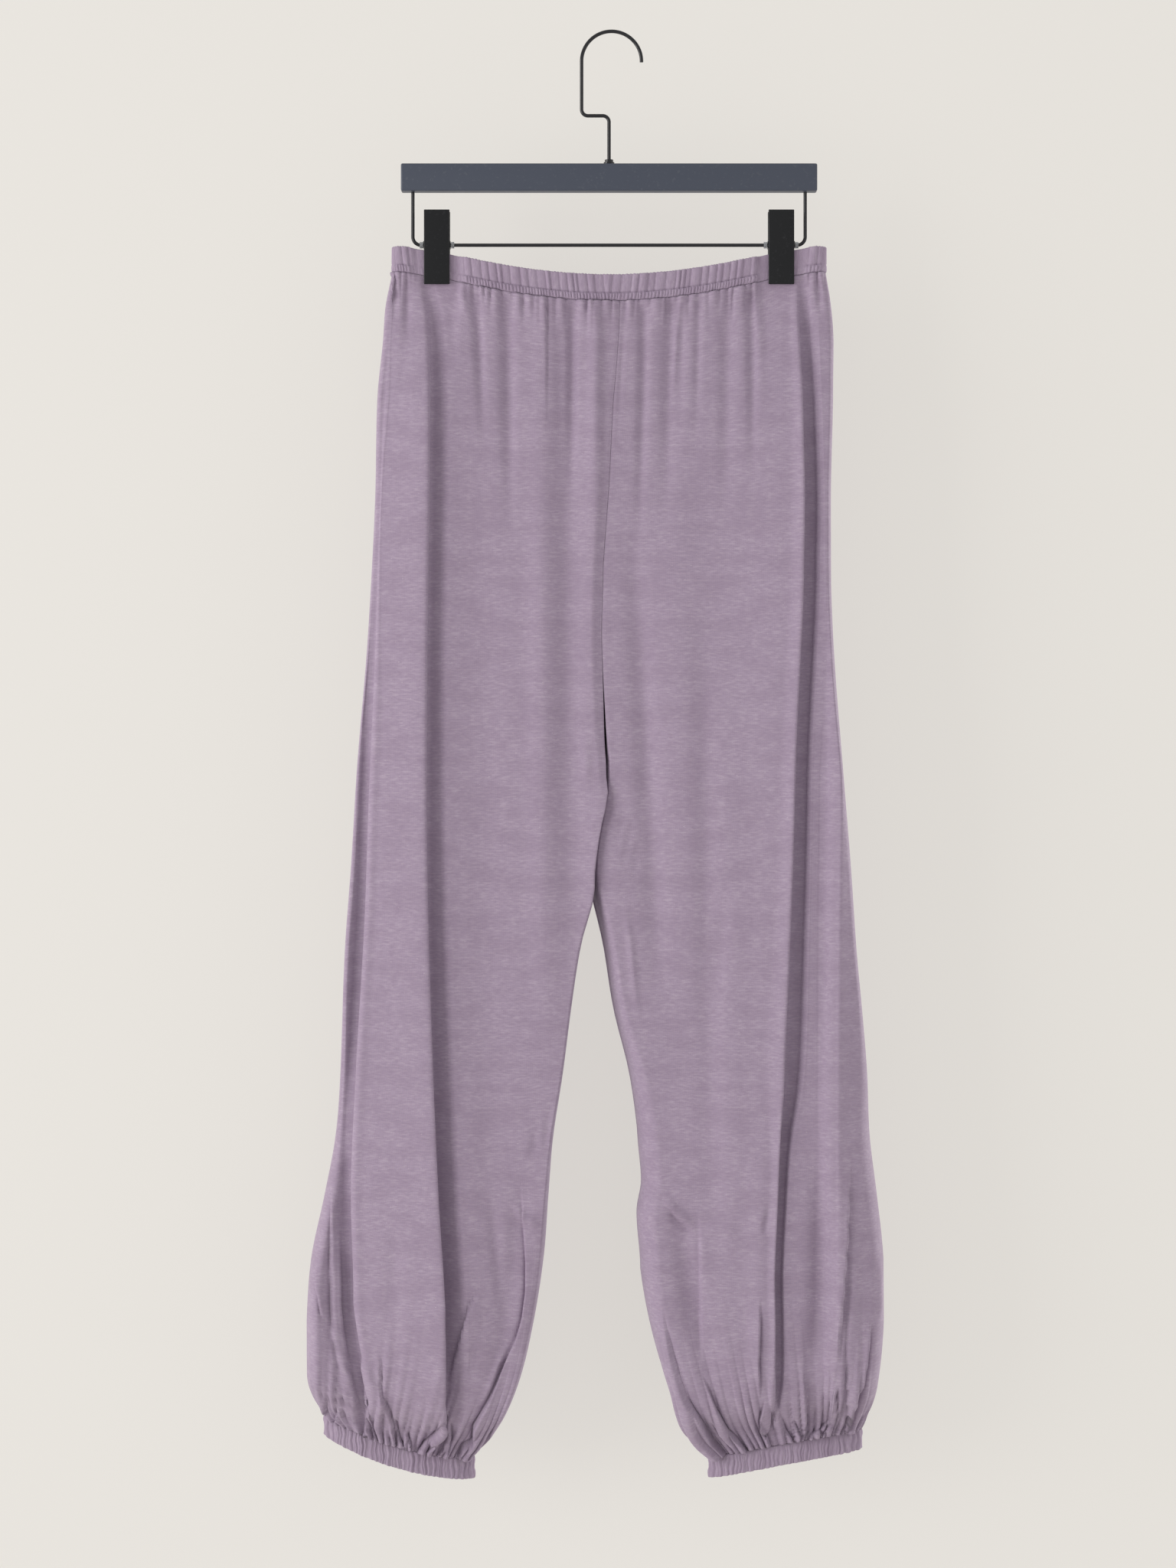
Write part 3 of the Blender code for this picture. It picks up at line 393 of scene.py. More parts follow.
LEFT_FOLDS = folds(
    # gathers under the waistband
    (MAIN, "down",
     ("trough", 4.0, 2.6, (-108, -190), (-104, -235), (-98, -340)),
     ("trough", 5.5, 3.0, (-82, -190), (-80.5, -250), (-77, -420)),
     ("trough", 3.0, 1.5, (-68, -200), (-66, -236)),
     ("trough", 4.5, 0.6, (-40, -200), (-39, -250), (-38, -360)),
     ("left", 4.0, 1.0, (-49.5, -200), (-49.5, -250), (-49, -320)),
     ("trough", 3.8, 2.6, (-29.5, -200), (-29.5, -250), (-30, -390)),
     ("trough", 1.5, 1.6, (-17.5, -205), (-17.5, -226)),
     ("ridge", 2.2, 1.3, (-14, -205), (-11, -240)),
     ("trough", 4.5, 1.0, (-3, -205), (-4, -250), (-7, -390)),
     ("ridge", 6.0, 1.8, (-9, -200), (-10, -260), (-12, -430)),
     ("ridge", 3.0, 1.6, (-123, -190), (-110, -232))),
    (FACE, "down",
     ("trough", 3.0, 1.4, (-160, -195), (-160, -250)),
     ("trough", 2.5, 1.2, (-169, -195), (-170, -235))),
    # knee
    (MAIN, "both",
     ("right", 5.0, 2.6, (-98, -985), (-109.8, -1004), (-118, -1034), (-123, -1052), (-127, -1070))),
    (MAIN, "up",
     ("right", 4.5, 2.8, (-69.6, -905), (-67.2, -945), (-65.5, -969), (-65.5, -992), (-68.4, -1014),
         (-73, -1030), (-79, -1043), (-87, -1062), (-95, -1080), (-106.3, -1101), (-107.5, -1114),
         (-115, -1118), (-118.2, -1125))),
    (MAIN, "both",
     ("ridge", 2.4, 1.6, (-76, -1032), (-87.3, -1050), (-92, -1063), (-101.5, -1086)),
     ("ridge", 2.6, 2.4, (-76, -926), (-66, -937), (-52, -941)),
     ("trough", 5.0, 1.4, (-93, -915), (-88, -960), (-84, -1010)),
     ("trough", 3.0, 1.8, (-44.7, -860), (-52.5, -875), (-66, -886)),
     ("ridge", 2.5, 1.8, (-27, -569), (-15, -580), (-4, -592))),
    (FACE, "both",
     ("trough", 7.0, 0.9, (-167, -930), (-168, -1000), (-170, -1050))),
    # down to the cuff
    (FACE, "both",
     ("right", 3.0, 1.6, (-230.3, -970), (-230.3, -987), (-225.6, -1011), (-217.9, -1023)),
     ("right", 4.0, 2.4, (-218.5, -905), (-218.5, -969), (-217.9, -1004), (-216.7, -1028),
         (-211.4, -1052), (-208, -1080), (-208, -1088), (-209.8, -1101), (-213.6, -1111)),
     ("left", 3.5, 2.6, (-211, -940), (-210.8, -992), (-209, -1022), (-204.3, -1054), (-198.3, -1080),
         (-195.9, -1092), (-196.6, -1103), (-200, -1112))),
    (FACE, "up",
     ("right", 3.0, 2.2, (-196, -1042), (-191.3, -1069), (-190.6, -1080), (-191, -1098), (-191.9, -1105),
         (-194, -1114)),
     ("left", 3.5, 2.0, (-178.9, -1035), (-178.3, -1074), (-173.6, -1086), (-170.2, -1097),
         (-169.3, -1108), (-168.5, -1124))),
    (FACE, "both",
     ("ridge", 3.0, 1.3, (-196, -1043), (-187, -1060), (-179, -1078))),
    (FACE, "up",
     ("right", 2.5, 1.8, (-187.2, -1078), (-185, -1101), (-184.2, -1111), (-186.4, -1120)),
     ("left", 2.0, 1.5, (-223, -1072), (-222.8, -1095), (-222, -1101), (-225, -1108)),
     ("right", 2.2, 1.6, (-212.8, -1082), (-214, -1095), (-216, -1104), (-219.6, -1110)),
     ("left", 2.4, 1.8, (-169.3, -1090), (-165, -1112), (-162, -1119), (-163.3, -1126)),
     ("left", 2.2, 1.8, (-160.8, -1103), (-157, -1114), (-156.5, -1120), (-160, -1128)),
     ("right", 4.0, 3.0, (-127.6, -1090), (-134.4, -1105), (-145.5, -1115), (-149.7, -1121),
         (-154, -1130)),
     ("right", 2.4, 1.8, (-135.2, -1110), (-140.3, -1118), (-143.3, -1122), (-144.2, -1129))),
    (MAIN, "up",
     ("right", 2.4, 1.8, (-127, -1106), (-130.8, -1120), (-134.8, -1125), (-136.5, -1131)),
     ("left", 2.2, 1.8, (-125, -1095), (-124.6, -1112), (-127.6, -1121)),
     ("right", 3.0, 2.2, (-90, -1100), (-96, -1112), (-102, -1121), (-111.4, -1133))),
)

RIGHT_FOLDS = folds(
    # gathers under the waistband
    (MAIN, "down",
     ("trough", 3.0, 2.2, (12, -205), (9, -235), (5.5, -330)),
     ("trough", 4.0, 2.2, (27, -200), (27, -260), (23, -430)),
     ("left", 4.0, 1.8, (44, -200), (44, -238)),
     ("trough", 6.0, 2.3, (49.5, -200), (48, -260), (44, -410)),
     ("ridge", 2.5, 1.0, (57, -198), (54, -226), (47, -330)),
     ("trough", 3.5, 1.1, (60.4, -198), (58, -230), (54, -350)),
     ("trough", 3.0, 1.2, (72.6, -195), (70, -245), (68.5, -340)),
     ("trough", 1.5, 1.3, (86, -193), (86, -214)),
     ("trough", 6.0, 1.8, (93, -190), (93.5, -245), (91, -410)),
     ("right", 3.5, 1.8, (98.5, -190), (98.5, -236)),
     ("left", 3.5, 1.6, (107, -188), (107.5, -226)),
     ("trough", 4.0, 2.4, (112, -188), (112.5, -235), (113, -370)),
     ("trough", 3.0, 2.2, (135, -188), (127, -226))),
    (FACE, "down",
     ("trough", 2.5, 1.3, (166, -190), (167, -232))),
    # crotch and knee
    (MAIN, "both",
     ("trough", 4.0, 1.8, (-3.3, -606), (12, -634), (28.9, -668)),
     ("ridge", 3.0, 1.2, (13.7, -695), (18, -735), (22, -778)),
     ("trough", 6.0, 1.0, (93, -672), (88, -720), (83.5, -772)),
     ("ridge", 2.6, 2.4, (40, -918), (52.3, -931), (68.4, -944)),
     ("trough", 2.2, 2.0, (42, -925), (53, -938), (68, -951)),
     ("trough", 2.2, 1.9, (26, -943), (35, -958)),
     ("ridge", 4.0, 1.5, (70, -945), (86, -943.5), (104, -946)),
     ("trough", 2.4, 1.2, (124.5, -925), (120.5, -950)),
     ("right", 10.0, 1.4, (69.7, -925), (70.4, -975), (71, -1015), (71.7, -1042), (70.4, -1056)),
     ("trough", 9.0, 1.2, (58, -930), (61, -975), (62, -1015), (63, -1050))),
    # down to the cuff
    (MAIN, "up",
     ("left", 5.0, 3.0, (41.6, -1000), (43.6, -1018), (48.3, -1039), (53.7, -1058), (60.3, -1077),
         (68.4, -1090), (74.5, -1101), (81.3, -1113), (88, -1121), (94.7, -1130)),
     ("right", 3.5, 2.4, (32.3, -1022), (36.3, -1042), (43, -1061), (48.3, -1079), (55.4, -1094),
         (62.2, -1104), (71.1, -1115), (77.9, -1125), (81.3, -1133)),
     ("left", 3.5, 2.6, (71, -1054), (77.7, -1071), (83.1, -1085), (86.9, -1092), (92.5, -1103),
         (101.5, -1113), (109.3, -1123), (115, -1130)),
     ("right", 2.2, 1.7, (77, -1092), (85.7, -1104), (93.6, -1113), (101.5, -1122), (104.3, -1130))),
    (MAIN, "both",
     ("left", 3.5, 2.2, (117.8, -995), (117.2, -1028), (116.5, -1049), (118.5, -1080))),
    (MAIN, "up",
     ("right", 3.0, 2.4, (122, -1076), (118.3, -1094), (119.5, -1103), (126.2, -1112), (129, -1119),
         (127.9, -1131)),
     ("left", 2.0, 1.6, (131.8, -1104), (131.3, -1120), (134, -1131))),
    (FACE, "both",
     ("trough", 7.0, 3.0, (164.5, -870), (164.5, -922), (164, -962), (162.5, -1015), (160.5, -1042),
         (159, -1069), (158, -1090))),
    (FACE, "up",
     ("left", 2.4, 2.0, (151.2, -1048), (153.2, -1075), (154.3, -1092), (153.7, -1109), (152, -1120)),
     ("left", 2.4, 1.8, (134, -1090), (138.5, -1104), (144.2, -1113), (145.3, -1122)),
     ("left", 2.2, 1.8, (143, -1090), (149.8, -1110), (149.8, -1118), (146.4, -1126)),
     ("right", 2.4, 2.0, (174, -1094), (166.6, -1103), (158.8, -1109), (156.5, -1118)),
     ("right", 2.0, 1.6, (175.4, -1095), (168.9, -1107), (166.1, -1115)),
     ("left", 2.4, 2.0, (177.3, -1060), (177.9, -1092), (174.5, -1105), (173.4, -1117)),
     ("right", 3.0, 2.2, (188, -955), (186.7, -996), (186, -1022), (185.3, -1055), (186.9, -1092),
         (185.2, -1105), (185.8, -1118))),
    (FACE, "both",
     ("left", 3.5, 2.6, (189, -880), (187.5, -909), (186, -947), (183, -985), (180.2, -1023),
         (176, -1072))),
    (FACE, "up",
     ("left", 4.5, 2.8, (204.7, -1008), (202, -1042), (198, -1066), (191.3, -1082), (188, -1094)),
     ("right", 2.4, 1.8, (203, -1092), (194.7, -1102), (191.9, -1110), (192.5, -1121)),
     ("left", 2.0, 1.4, (207, -1094), (200.4, -1104), (199.2, -1113))),
    (FACE, "both",
     ("ridge", 2.2, 1.2, (211.4, -965), (211.8, -995), (211, -1025)),
     ("ridge", 9.0, 1.6, (171, -760), (169, -880), (167, -1000))),
)

# The long creases of the backs, which the photograph doesn't show
BACK_FOLDS = {
    "left": folds(
        (MAIN, "both",
         ("left", 8.0, 2.6, (-124, -235), (-129, -400), (-140, -640), (-152, -900)),
         ("ridge", 9.0, 1.8, (-58, -250), (-62, -430), (-72, -680), (-88, -960)),
         ("trough", 7.0, 1.6, (-92, -300), (-97, -520), (-108, -800), (-118, -1020)),
         ("right", 6.0, 1.8, (-30, -330), (-34, -480), (-45, -640), (-58, -760))),
    ),
    "right": folds(
        (MAIN, "both",
         ("right", 8.0, 2.4, (112, -230), (120, -420), (133, -660), (146, -930)),
         ("ridge", 8.0, 2.0, (74, -270), (80, -460), (90, -700), (104, -980)),
         ("trough", 7.0, 1.8, (48, -250), (52, -430), (62, -640), (76, -880)),
         ("left", 6.0, 1.6, (22, -420), (26, -540), (38, -700), (52, -820))),
    ),
}
FOLDS = {"left": LEFT_FOLDS, "right": RIGHT_FOLDS}

# The stage in metres: backdrop, floor, lights and camera
STAGE_HALF = 3
FLOOR_HALF_DEPTH = 4
FLOOR_HEIGHT = -1.6
BACKDROP_TOP = 1.4
LIGHT_TARGET = (0, 0, -0.65)
LIGHT_COLOUR = (1.0, 0.985, 0.965)
# Each light's name, place, side length and the setting that holds its power
LIGHTS = (("Window light", (-4.06, -2.1, -0.45), 3.36, "key_power"),
          ("Fill light", (2.9, -1.6, -0.5), 2.4, "fill_power"),
          ("Back light", (2.6, 1.5, -0.3), 2.0, "back_power"))
CAMERA_ACROSS = -0.0167
CAMERA_HEIGHT = -0.596
SENSOR_HEIGHT = 36


def blend(first, second, share):
    """The value a share of the way from the first to the second."""
    return first + (second - first) * share


def ramp(value, start, end):
    """Smooth step from 0 at start to 1 at end, for numbers and arrays."""
    share = np.clip((value - start) / (end - start), 0.0, 1.0)
    return share * share * (3 - 2 * share)


def read(table, column, height):
    """A column of a table whose first column falls, smoothly interpolated at a height."""
    if height >= table[0][0]:
        return getattr(table[0], column)
    if height <= table[-1][0]:
        return getattr(table[-1], column)
    last = len(table) - 1
    row = next(i for i in range(last) if table[i + 1][0] <= height)
    values = [getattr(table[min(last, max(0, row + step))], column) for step in (-1, 0, 1, 2)]
    heights = [table[min(last, max(0, row + step))][0] for step in (-1, 0, 1, 2)]
    span = heights[2] - heights[1]
    share = (height - heights[1]) / span
    slope_in = (values[2] - values[0]) / (heights[2] - heights[0]) * span
    slope_out = (values[3] - values[1]) / (heights[3] - heights[1]) * span
    rise = values[2] - values[1]
    if rise * slope_in <= 0 or rise * slope_out <= 0:
        return blend(values[1], values[2], share * share * (3 - 2 * share))
    slope_in = math.copysign(min(abs(slope_in), 3 * abs(rise)), rise)
    slope_out = math.copysign(min(abs(slope_out), 3 * abs(rise)), rise)
    square = share * share
    cube = square * share
    return (values[1] * (2 * cube - 3 * square + 1) + slope_in * (cube - 2 * square + share)
            + values[2] * (3 * square - 2 * cube) + slope_out * (cube - square))


def column_of(table, column, levels):
    """A table column read at every level, as one column of an array."""
    return np.array([[float(read(table, column, level))] for level in levels])


def waist_top(x):
    """Upper edge of the waistband, which sags between the clips."""
    across = np.abs(x)
    lift = (WAIST_CLIP_TOP - WAIST_MIDDLE_TOP) * np.minimum(across / CLIP_X, 1.0) ** WAIST_SAG
    end = blend(WAIST_CLIP_TOP, WAIST_END_TOP, ramp(across, CLIP_X, WAIST_HALF))
    return np.where(across < CLIP_X, WAIST_MIDDLE_TOP + lift, end)


def clip_grip(x):
    """1 under a clip, 0 away from it."""
    return 1.0 - ramp(np.abs(np.abs(x) - CLIP_X), GRIP_START, GRIP_END)


def waist_half_depth(x):
    """Half thickness of the flattened waist, pressed thin by the clips."""
    across = np.abs(x)
    middle = np.sqrt(np.maximum(0.0, 1 - (across / CLIP_X) ** 2))
    depth = np.where(across < CLIP_X, blend(WAIST_CLIP_HALF_DEPTH, WAIST_MIDDLE_HALF_DEPTH, middle),
                     WAIST_END_HALF_DEPTH)
    depth = blend(depth, WAIST_CLIP_HALF_DEPTH, clip_grip(x))
    inset = np.minimum(1.0, (WAIST_HALF - across) / WAIST_END_ROUNDING)
    return depth * np.sqrt(np.maximum(0.0, 1 - (1 - inset) ** 2))


def cuff_bottom(side, share):
    """Lower edge of a cuff, from the inseam (0) to the outer seam (1)."""
    fall = side.cuff_outer - side.cuff_inner
    bow = side.cuff_bow
    return side.cuff_inner - CUFF_HEIGHT + (fall - bow) * share + bow * share * share


def cuff_edges(side):
    """How far from the middle of the body a cuff starts and ends."""
    return read(side.inseam, "across", side.cuff_inner), read(side.outer, "across", side.cuff_outer)


def cuff_half_depth(share):
    """Half thickness of a flattened cuff, from the inseam (0) to the outer seam (1)."""
    return CUFF_HALF_DEPTH * np.sqrt(np.maximum(0.0, 1 - np.abs(2 * share - 1) ** CUFF_SQUARENESS))


def fold_stations(line, form, level, room_in, room_out):
    """Where a fold's points lie across the leg, and how far back, at one level."""
    middle = read(line, "across", level)
    depth = read(line, "depth", level)
    first = form[0].across
    last = form[-1].across
    scale = min(1.0, (middle - room_in) / -first, (room_out - middle) / last)
    scale = scale * blend(CLOSED_WIDTH, 1.0, depth) * read(line, "width", level)
    stations = []
    for index, point in enumerate(form):
        level_step = blend(first, last, index / (len(form) - 1))
        across = middle + scale * blend(level_step, point.across, depth)
        stations.append((across, point.back * depth * min(1.0, scale + DEPTH_RESERVE)))
    return stations


def between(first, second, count, lean):
    """Stations between two others, drawn towards the first by a lean above 1."""
    stations = []
    for index in range(1, count):
        share = (index / count) ** lean
        stations.append((blend(first[0], second[0], share), blend(first[1], second[1], share)))
    return stations


def front_stations(side, level, inner, outer):
    """Distance across and fold depth of each station of a front, inseam to outer seam."""
    flap = fold_stations(side.flap, side.flap_form, level, inner + FLAP_ROOM_IN, outer - FLAP_ROOM_OUT)
    roll = fold_stations(side.roll, side.roll_form, level, flap[-1][0] + ROLL_ROOM_IN,
                         outer - ROLL_ROOM_OUT)
    seam = (inner, 0.0)
    edge = (outer, 0.0)
    stations = [seam] + between(seam, flap[0], MAIN_COLUMNS, MAIN_LEAN)
    stations += flap + between(flap[-1], roll[0], FLAP_COLUMNS, 1.0)
    stations += roll + between(roll[-1], edge, EDGE_COLUMNS, SIDE_LEAN)
    return stations + [edge]


def through_points(values, steps):
    """A smooth curve through each row of values, with so many steps to each interval."""
    last = values.shape[1] - 1
    columns = []
    for index, count in enumerate(steps):
        before = values[:, max(0, index - 1)]
        start = values[:, index]
        end = values[:, index + 1]
        after = values[:, min(last, index + 2)]
        for number in range(count):
            share = number / count
            curve = (2 * start + (end - before) * share
                     + (2 * before - 5 * start + 4 * end - after) * share ** 2
                     + (3 * start - before - 3 * end + after) * share ** 3)
            columns.append(curve / 2)
    columns.append(values[:, last])
    return np.stack(columns, axis=1)


def leg_edges(side, levels):
    """Distance across of the inner and outer edges of a half at every level, as two columns."""
    inner = []
    outer = []
    for level in levels:
        if level >= CROTCH:
            inner.append(side.sign * read(CENTRE_SEAM, "across", level))
        else:
            inner.append(read(side.inseam, "across", float(wall_height(side, 0.0, 0.0, level))))
        outer.append(read(side.outer, "across", float(wall_height(side, WAIST_HALF, 1.0, level))))
    return np.array(inner)[:, None], np.array(outer)[:, None]


def wall_height(side, x, share, level):
    """Height of a row where it crosses x: it follows the waist above and the cuff below."""
    waist = waist_top(x) - WAIST_MIDDLE_TOP
    cuff = cuff_bottom(side, share) + CUFF_HEIGHT + SEAM_GAP - CUFF_SEAM
    return level + waist * (1 - ramp(level, *WAIST_TO_LEVEL)) + cuff * ramp(level, *LEVEL_TO_CUFF)


def ridge_rise(ridges, across, level):
    """Rise of the broad soft folds."""
    rise = 0.0
    for ridge in ridges:
        run = np.clip((level - ridge.top) / (ridge.bottom - ridge.top), 0.0, 1.0)
        middle = blend(ridge.across_top, ridge.across_bottom, run)
        fade = np.sin(math.pi * run) ** RIDGE_FADE
        rise = rise + ridge.rise * fade * np.exp(-((across - middle) / ridge.width) ** 2)
    return rise


def distance_to_path(path, x, z):
    """Distance of points from a path, the right of it positive, and how far along it they lie."""
    distance = np.full(x.shape, FAR)
    along = np.zeros(x.shape)
    run = 0.0
    for (x0, z0), (x1, z1) in zip(path, path[1:]):
        length = math.hypot(x1 - x0, z1 - z0)
        share = np.clip(((x - x0) * (x1 - x0) + (z - z0) * (z1 - z0)) / length ** 2, 0.0, 1.0)
        off_x = x - x0 - share * (x1 - x0)
        off_z = z - z0 - share * (z1 - z0)
        gap = np.hypot(off_x, off_z)
        gap = np.copysign(gap, off_z * (x1 - x0) - off_x * (z1 - z0))
        closer = np.abs(gap) < np.abs(distance)
        distance = np.where(closer, gap, distance)
        along = np.where(closer, run + share * length, along)
        run += length
    return distance, along / run


def fold_rise(fold, x, z):
    """How much one listed fold raises each point, and how far its high side laps over."""
    places = np.array(fold.path)
    reach = FOLD_REACH * fold.width
    near = ((x > places[:, 0].min() - reach) & (x < places[:, 0].max() + reach)
            & (z > places[:, 1].min() - reach) & (z < places[:, 1].max() + reach))
    rise = np.zeros(x.shape)
    lap = np.zeros(x.shape)
    distance, along = distance_to_path(fold.path, x[near], z[near])
    high = 0.0
    if fold.kind == "ridge":
        form = np.exp(-(distance / fold.width) ** 2)
    elif fold.kind == "trough":
        form = -np.exp(-(distance / fold.width) ** 2)
    else:
        ahead = -distance if fold.kind == "left" else distance
        high = 1 / (1 + np.exp(-np.clip(ahead / (STEP_WIDTH * fold.width), -30, 30)))
        near_line = np.abs(ahead) / fold.width
        dip = STEP_DIP * np.exp(-near_line * DIP_FALL) + CREASE_DIP * np.exp(-near_line * CREASE_FALL)
        form = high * np.exp(-near_line / STEP_FALL) - dip * (1 - high)
    fade = 1 - ramp(np.abs(distance), 0.5 * reach, reach)
    if fold.ends in ("both", "up"):
        fade *= ramp(along, 0.0, EARLY_FADE)
    if fold.ends in ("both", "down"):
        fade *= 1 - ramp(along, EARLY_FADE if fold.ends == "down" else LATE_FADE, 1.0)
    strength = blend(FOLD_STRENGTH, HEM_STRENGTH, ramp(z[near], *HEM_START))
    rise[near] = strength * fold.rise * form * fade
    towards = 1 if fold.kind == "left" else -1
    lap[near] = towards * LAP_REACH * high * np.exp(-np.abs(distance) / LAP_WIDTH) * np.abs(rise[near])
    return rise, lap


def spaced(count, start, end, unevenness, seed):
    """Uneven places from start to end."""
    chance = random.Random(seed)
    gaps = [1 + unevenness * chance.uniform(-1, 1) for _ in range(count)]
    places = [start]
    for gap in gaps:
        places.append(places[-1] + gap * (end - start) / sum(gaps))
    return np.array(places)


def puffs(position, grooves, heights, sharpness):
    """Soft bumps between sharp grooves, and which bump each position is on."""
    index = np.clip(np.searchsorted(grooves, position) - 1, 0, len(grooves) - 2)
    share = (position - grooves[index]) / (grooves[index + 1] - grooves[index])
    return heights[index] * (1 - np.abs(2 * share - 1) ** sharpness), index


def uneven_ribs(kind, position, count, length):
    """A row of so many ribs of one kind along a length."""
    grooves = spaced(count, 0.0, length, kind.unevenness, kind.place_seed)
    heights = np.random.default_rng(kind.height_seed).uniform(*kind.heights, count + 1)
    return puffs(position, grooves, heights, kind.sharpness)[0]


def hem_grooves(side):
    """Grooves of the gathers round one cuff: 0 to 1 along the front, 1 to 2 along the back.

    The front's grooves are where its folds end, with more between them.
    """
    inner, outer = cuff_edges(side)
    ends = [fold.path[-1] for fold in FOLDS[side.name] if fold.ends == "up"]
    placed = sorted((side.sign * x - inner) / (outer - inner) for x, z in ends if z < side.cuff_outer)
    placed = [0.0] + [place for place in placed if HEM_MARGIN < place < 1 - HEM_MARGIN] + [1.0]
    front = []
    for start, end in zip(placed, placed[1:]):
        count = max(1, round((end - start) / HEM_GATHER))
        front += list(np.linspace(start, end, count, endpoint=False))
    chance = np.random.default_rng(side.hem_seed)
    places = spaced(round(1 / HEM_GATHER), 0.0, 1.0, HEM_UNEVENNESS, HEM_BACK_SEED)
    grooves = np.array(front + [1 + place for place in places])
    heights = chance.uniform(*HEM_GATHER_HEIGHTS, len(grooves))
    lengths = chance.uniform(*HEM_GATHER_LENGTHS, len(grooves))
    return grooves, heights, lengths


def wall_points(side, facing, levels, across, back):
    """Points of one front (-1) or back (1) wall in millimetres, rows down and columns across."""
    level = np.array(levels)[:, None]
    inner, outer = leg_edges(side, levels)
    share = np.clip((across - inner) / (outer - inner), 0.0, 1.0)
    x = side.sign * across
    rounding = column_of(SECTIONS, "rounding", levels) ** ROUNDING_POWER
    depth = column_of(SECTIONS, "front" if facing < 0 else "back", levels)
    below_knee = ramp(level, *THIGH_TO_SHIN) if facing < 0 else 1.0
    inner_radius = blend(THIGH_ROUNDING, INNER_ROUNDING, below_knee)
    if facing < 0 and side.sign < 0:
        inner_radius = LAPPED_ROUNDING
    if facing < 0:
        inner_radius = blend(SEAM_ROUNDING, inner_radius, ramp(level, *SEAM_TO_INSEAM))
    from_inner = np.minimum(1.0, (across - inner) / inner_radius)
    side_radius = blend(THIGH_ROUNDING, SIDE_ROUNDING, below_knee) if facing < 0 else BACK_SIDE_ROUNDING
    from_outer = np.clip((outer - across) / side_radius, 0.0, 1.0)
    inner_form = blend(1.0, np.sqrt(np.maximum(0.0, 1 - (1 - from_inner) ** 2)), rounding)
    outer_form = np.sqrt(np.maximum(0.0, 1 - (1 - from_outer) ** 2))
    cuff_share = ramp(level, *LEG_TO_CUFF)
    depth = blend(depth * inner_form * outer_form, waist_half_depth(x * WAIST_HALF / outer),
                  1 - ramp(level, *WAIST_TO_HIP))
    depth = blend(depth, cuff_half_depth(share), cuff_share)
    calm = edge_calm(x, level) * ramp(np.minimum(across - inner, 2 * (outer - across)), *RIDGE_CALM)
    ridges = side.ridges if facing < 0 else BACK_RIDGES
    depth = depth + ridge_rise(ridges, across, level) * calm
    depth = depth - back * (1 - cuff_share) * ramp(outer - across, *FOLD_CALM)
    if facing < 0:
        near = (np.exp(-((across - inner) / CROTCH_REACH) ** 2) * inner_form * rounding
                * ramp(level, *CROTCH_START) * (1 - ramp(level, *CROTCH_END)))
        depth = depth - side.sign * CROTCH_PROUD * near
        x = x + (CROTCH_LAP if side.sign < 0 else -CROTCH_TUCK) * near
    y = facing * depth
    slant = blend(LEG_SLANT, LOWER_SLANT, ramp(level, *SLANT_CHANGE)) * np.minimum(1, 4 * rounding)
    slant = slant * (1 - cuff_share) * (1 - ramp(across - inner, *SLANT_REACH))
    middle = SLANT_MIDDLE * (1 - ramp(level, *SLANT_MIDDLE_END))
    x = x - slant * (y + middle) * (1 - ramp(level, *SLANT_END))
    z = wall_height(side, side.sign * across, share, level)
    return np.stack([x, y, z], axis=2)


def edge_calm(x, level):
    """0 where a clip presses the cloth flat, 1 elsewhere."""
    return 1 - clip_grip(x) * (1 - ramp(level, *CLIP_TO_PANEL))


def outward(points, facing):
    """Unit normals of a wall, pointing out of the garment."""
    normals = np.cross(np.gradient(points, axis=0), np.gradient(points, axis=1))
    normals /= np.maximum(1e-9, np.linalg.norm(normals, axis=2, keepdims=True))
    return normals * (facing * np.sign(normals[:, :, 1].sum()))


def wall_rise(side, facing, points, share, columns_of):
    """Rise and sideways lap of everything finer than the solids: folds, gathers and puckers."""
    x = points[:, :, 0]
    z = points[:, :, 2]
    rise = np.zeros(x.shape)
    laps = np.zeros(x.shape)
    placed = FOLDS[side.name]
    if facing > 0:
        other = FOLDS["right" if side.sign < 0 else "left"]
        placed = [fold._replace(path=tuple((-px, pz) for px, pz in fold.path),
                                kind={"left": "right", "right": "left"}.get(fold.kind, fold.kind))
                  for fold in other] + list(BACK_FOLDS[side.name])
    for fold in placed:
        part = columns_of[fold.part] if facing < 0 else slice(None)
        raised, lap = fold_rise(fold, x[:, part], z[:, part])
        rise[:, part] += raised
        laps[:, part] += lap
    below_band = waist_top(x) - WAIST_HEIGHT - z
    rise *= blend(BAND_CALM, 1.0, ramp(below_band, *BAND_REACH))
    chance = np.random.default_rng(PUCKER_FORM_SEED + facing)
    places = spaced(round(2 * PUCKER_HALF / PUCKER_PITCH), -PUCKER_HALF, PUCKER_HALF, PUCKER_UNEVENNESS,
                    PUCKER_PLACE_SEED + facing)
    pucker, index = puffs(x, places, chance.uniform(*PUCKER_HEIGHTS, len(places)), PUCKER_SHARPNESS)
    lengths = chance.uniform(*PUCKER_LENGTHS, len(places)) * PUCKER_LENGTH
    rise += PUCKER_RISE * pucker * np.exp(-(np.maximum(0, below_band) / lengths[index]) ** 2)
    above_cuff = z - cuff_bottom(side, share) - CUFF_HEIGHT
    grooves, heights, lengths = hem_grooves(side)
    gather, index = puffs(share if facing < 0 else 2 - share, grooves, heights, HEM_GATHER_SHARPNESS)
    faded = np.exp(-(np.maximum(0, above_cuff) / lengths[index]) ** HEM_GATHER_FALL)
    rise += HEM_GATHER_RISE * gather * faded
    return rise, np.clip(laps, -LAP_LIMIT, LAP_LIMIT)


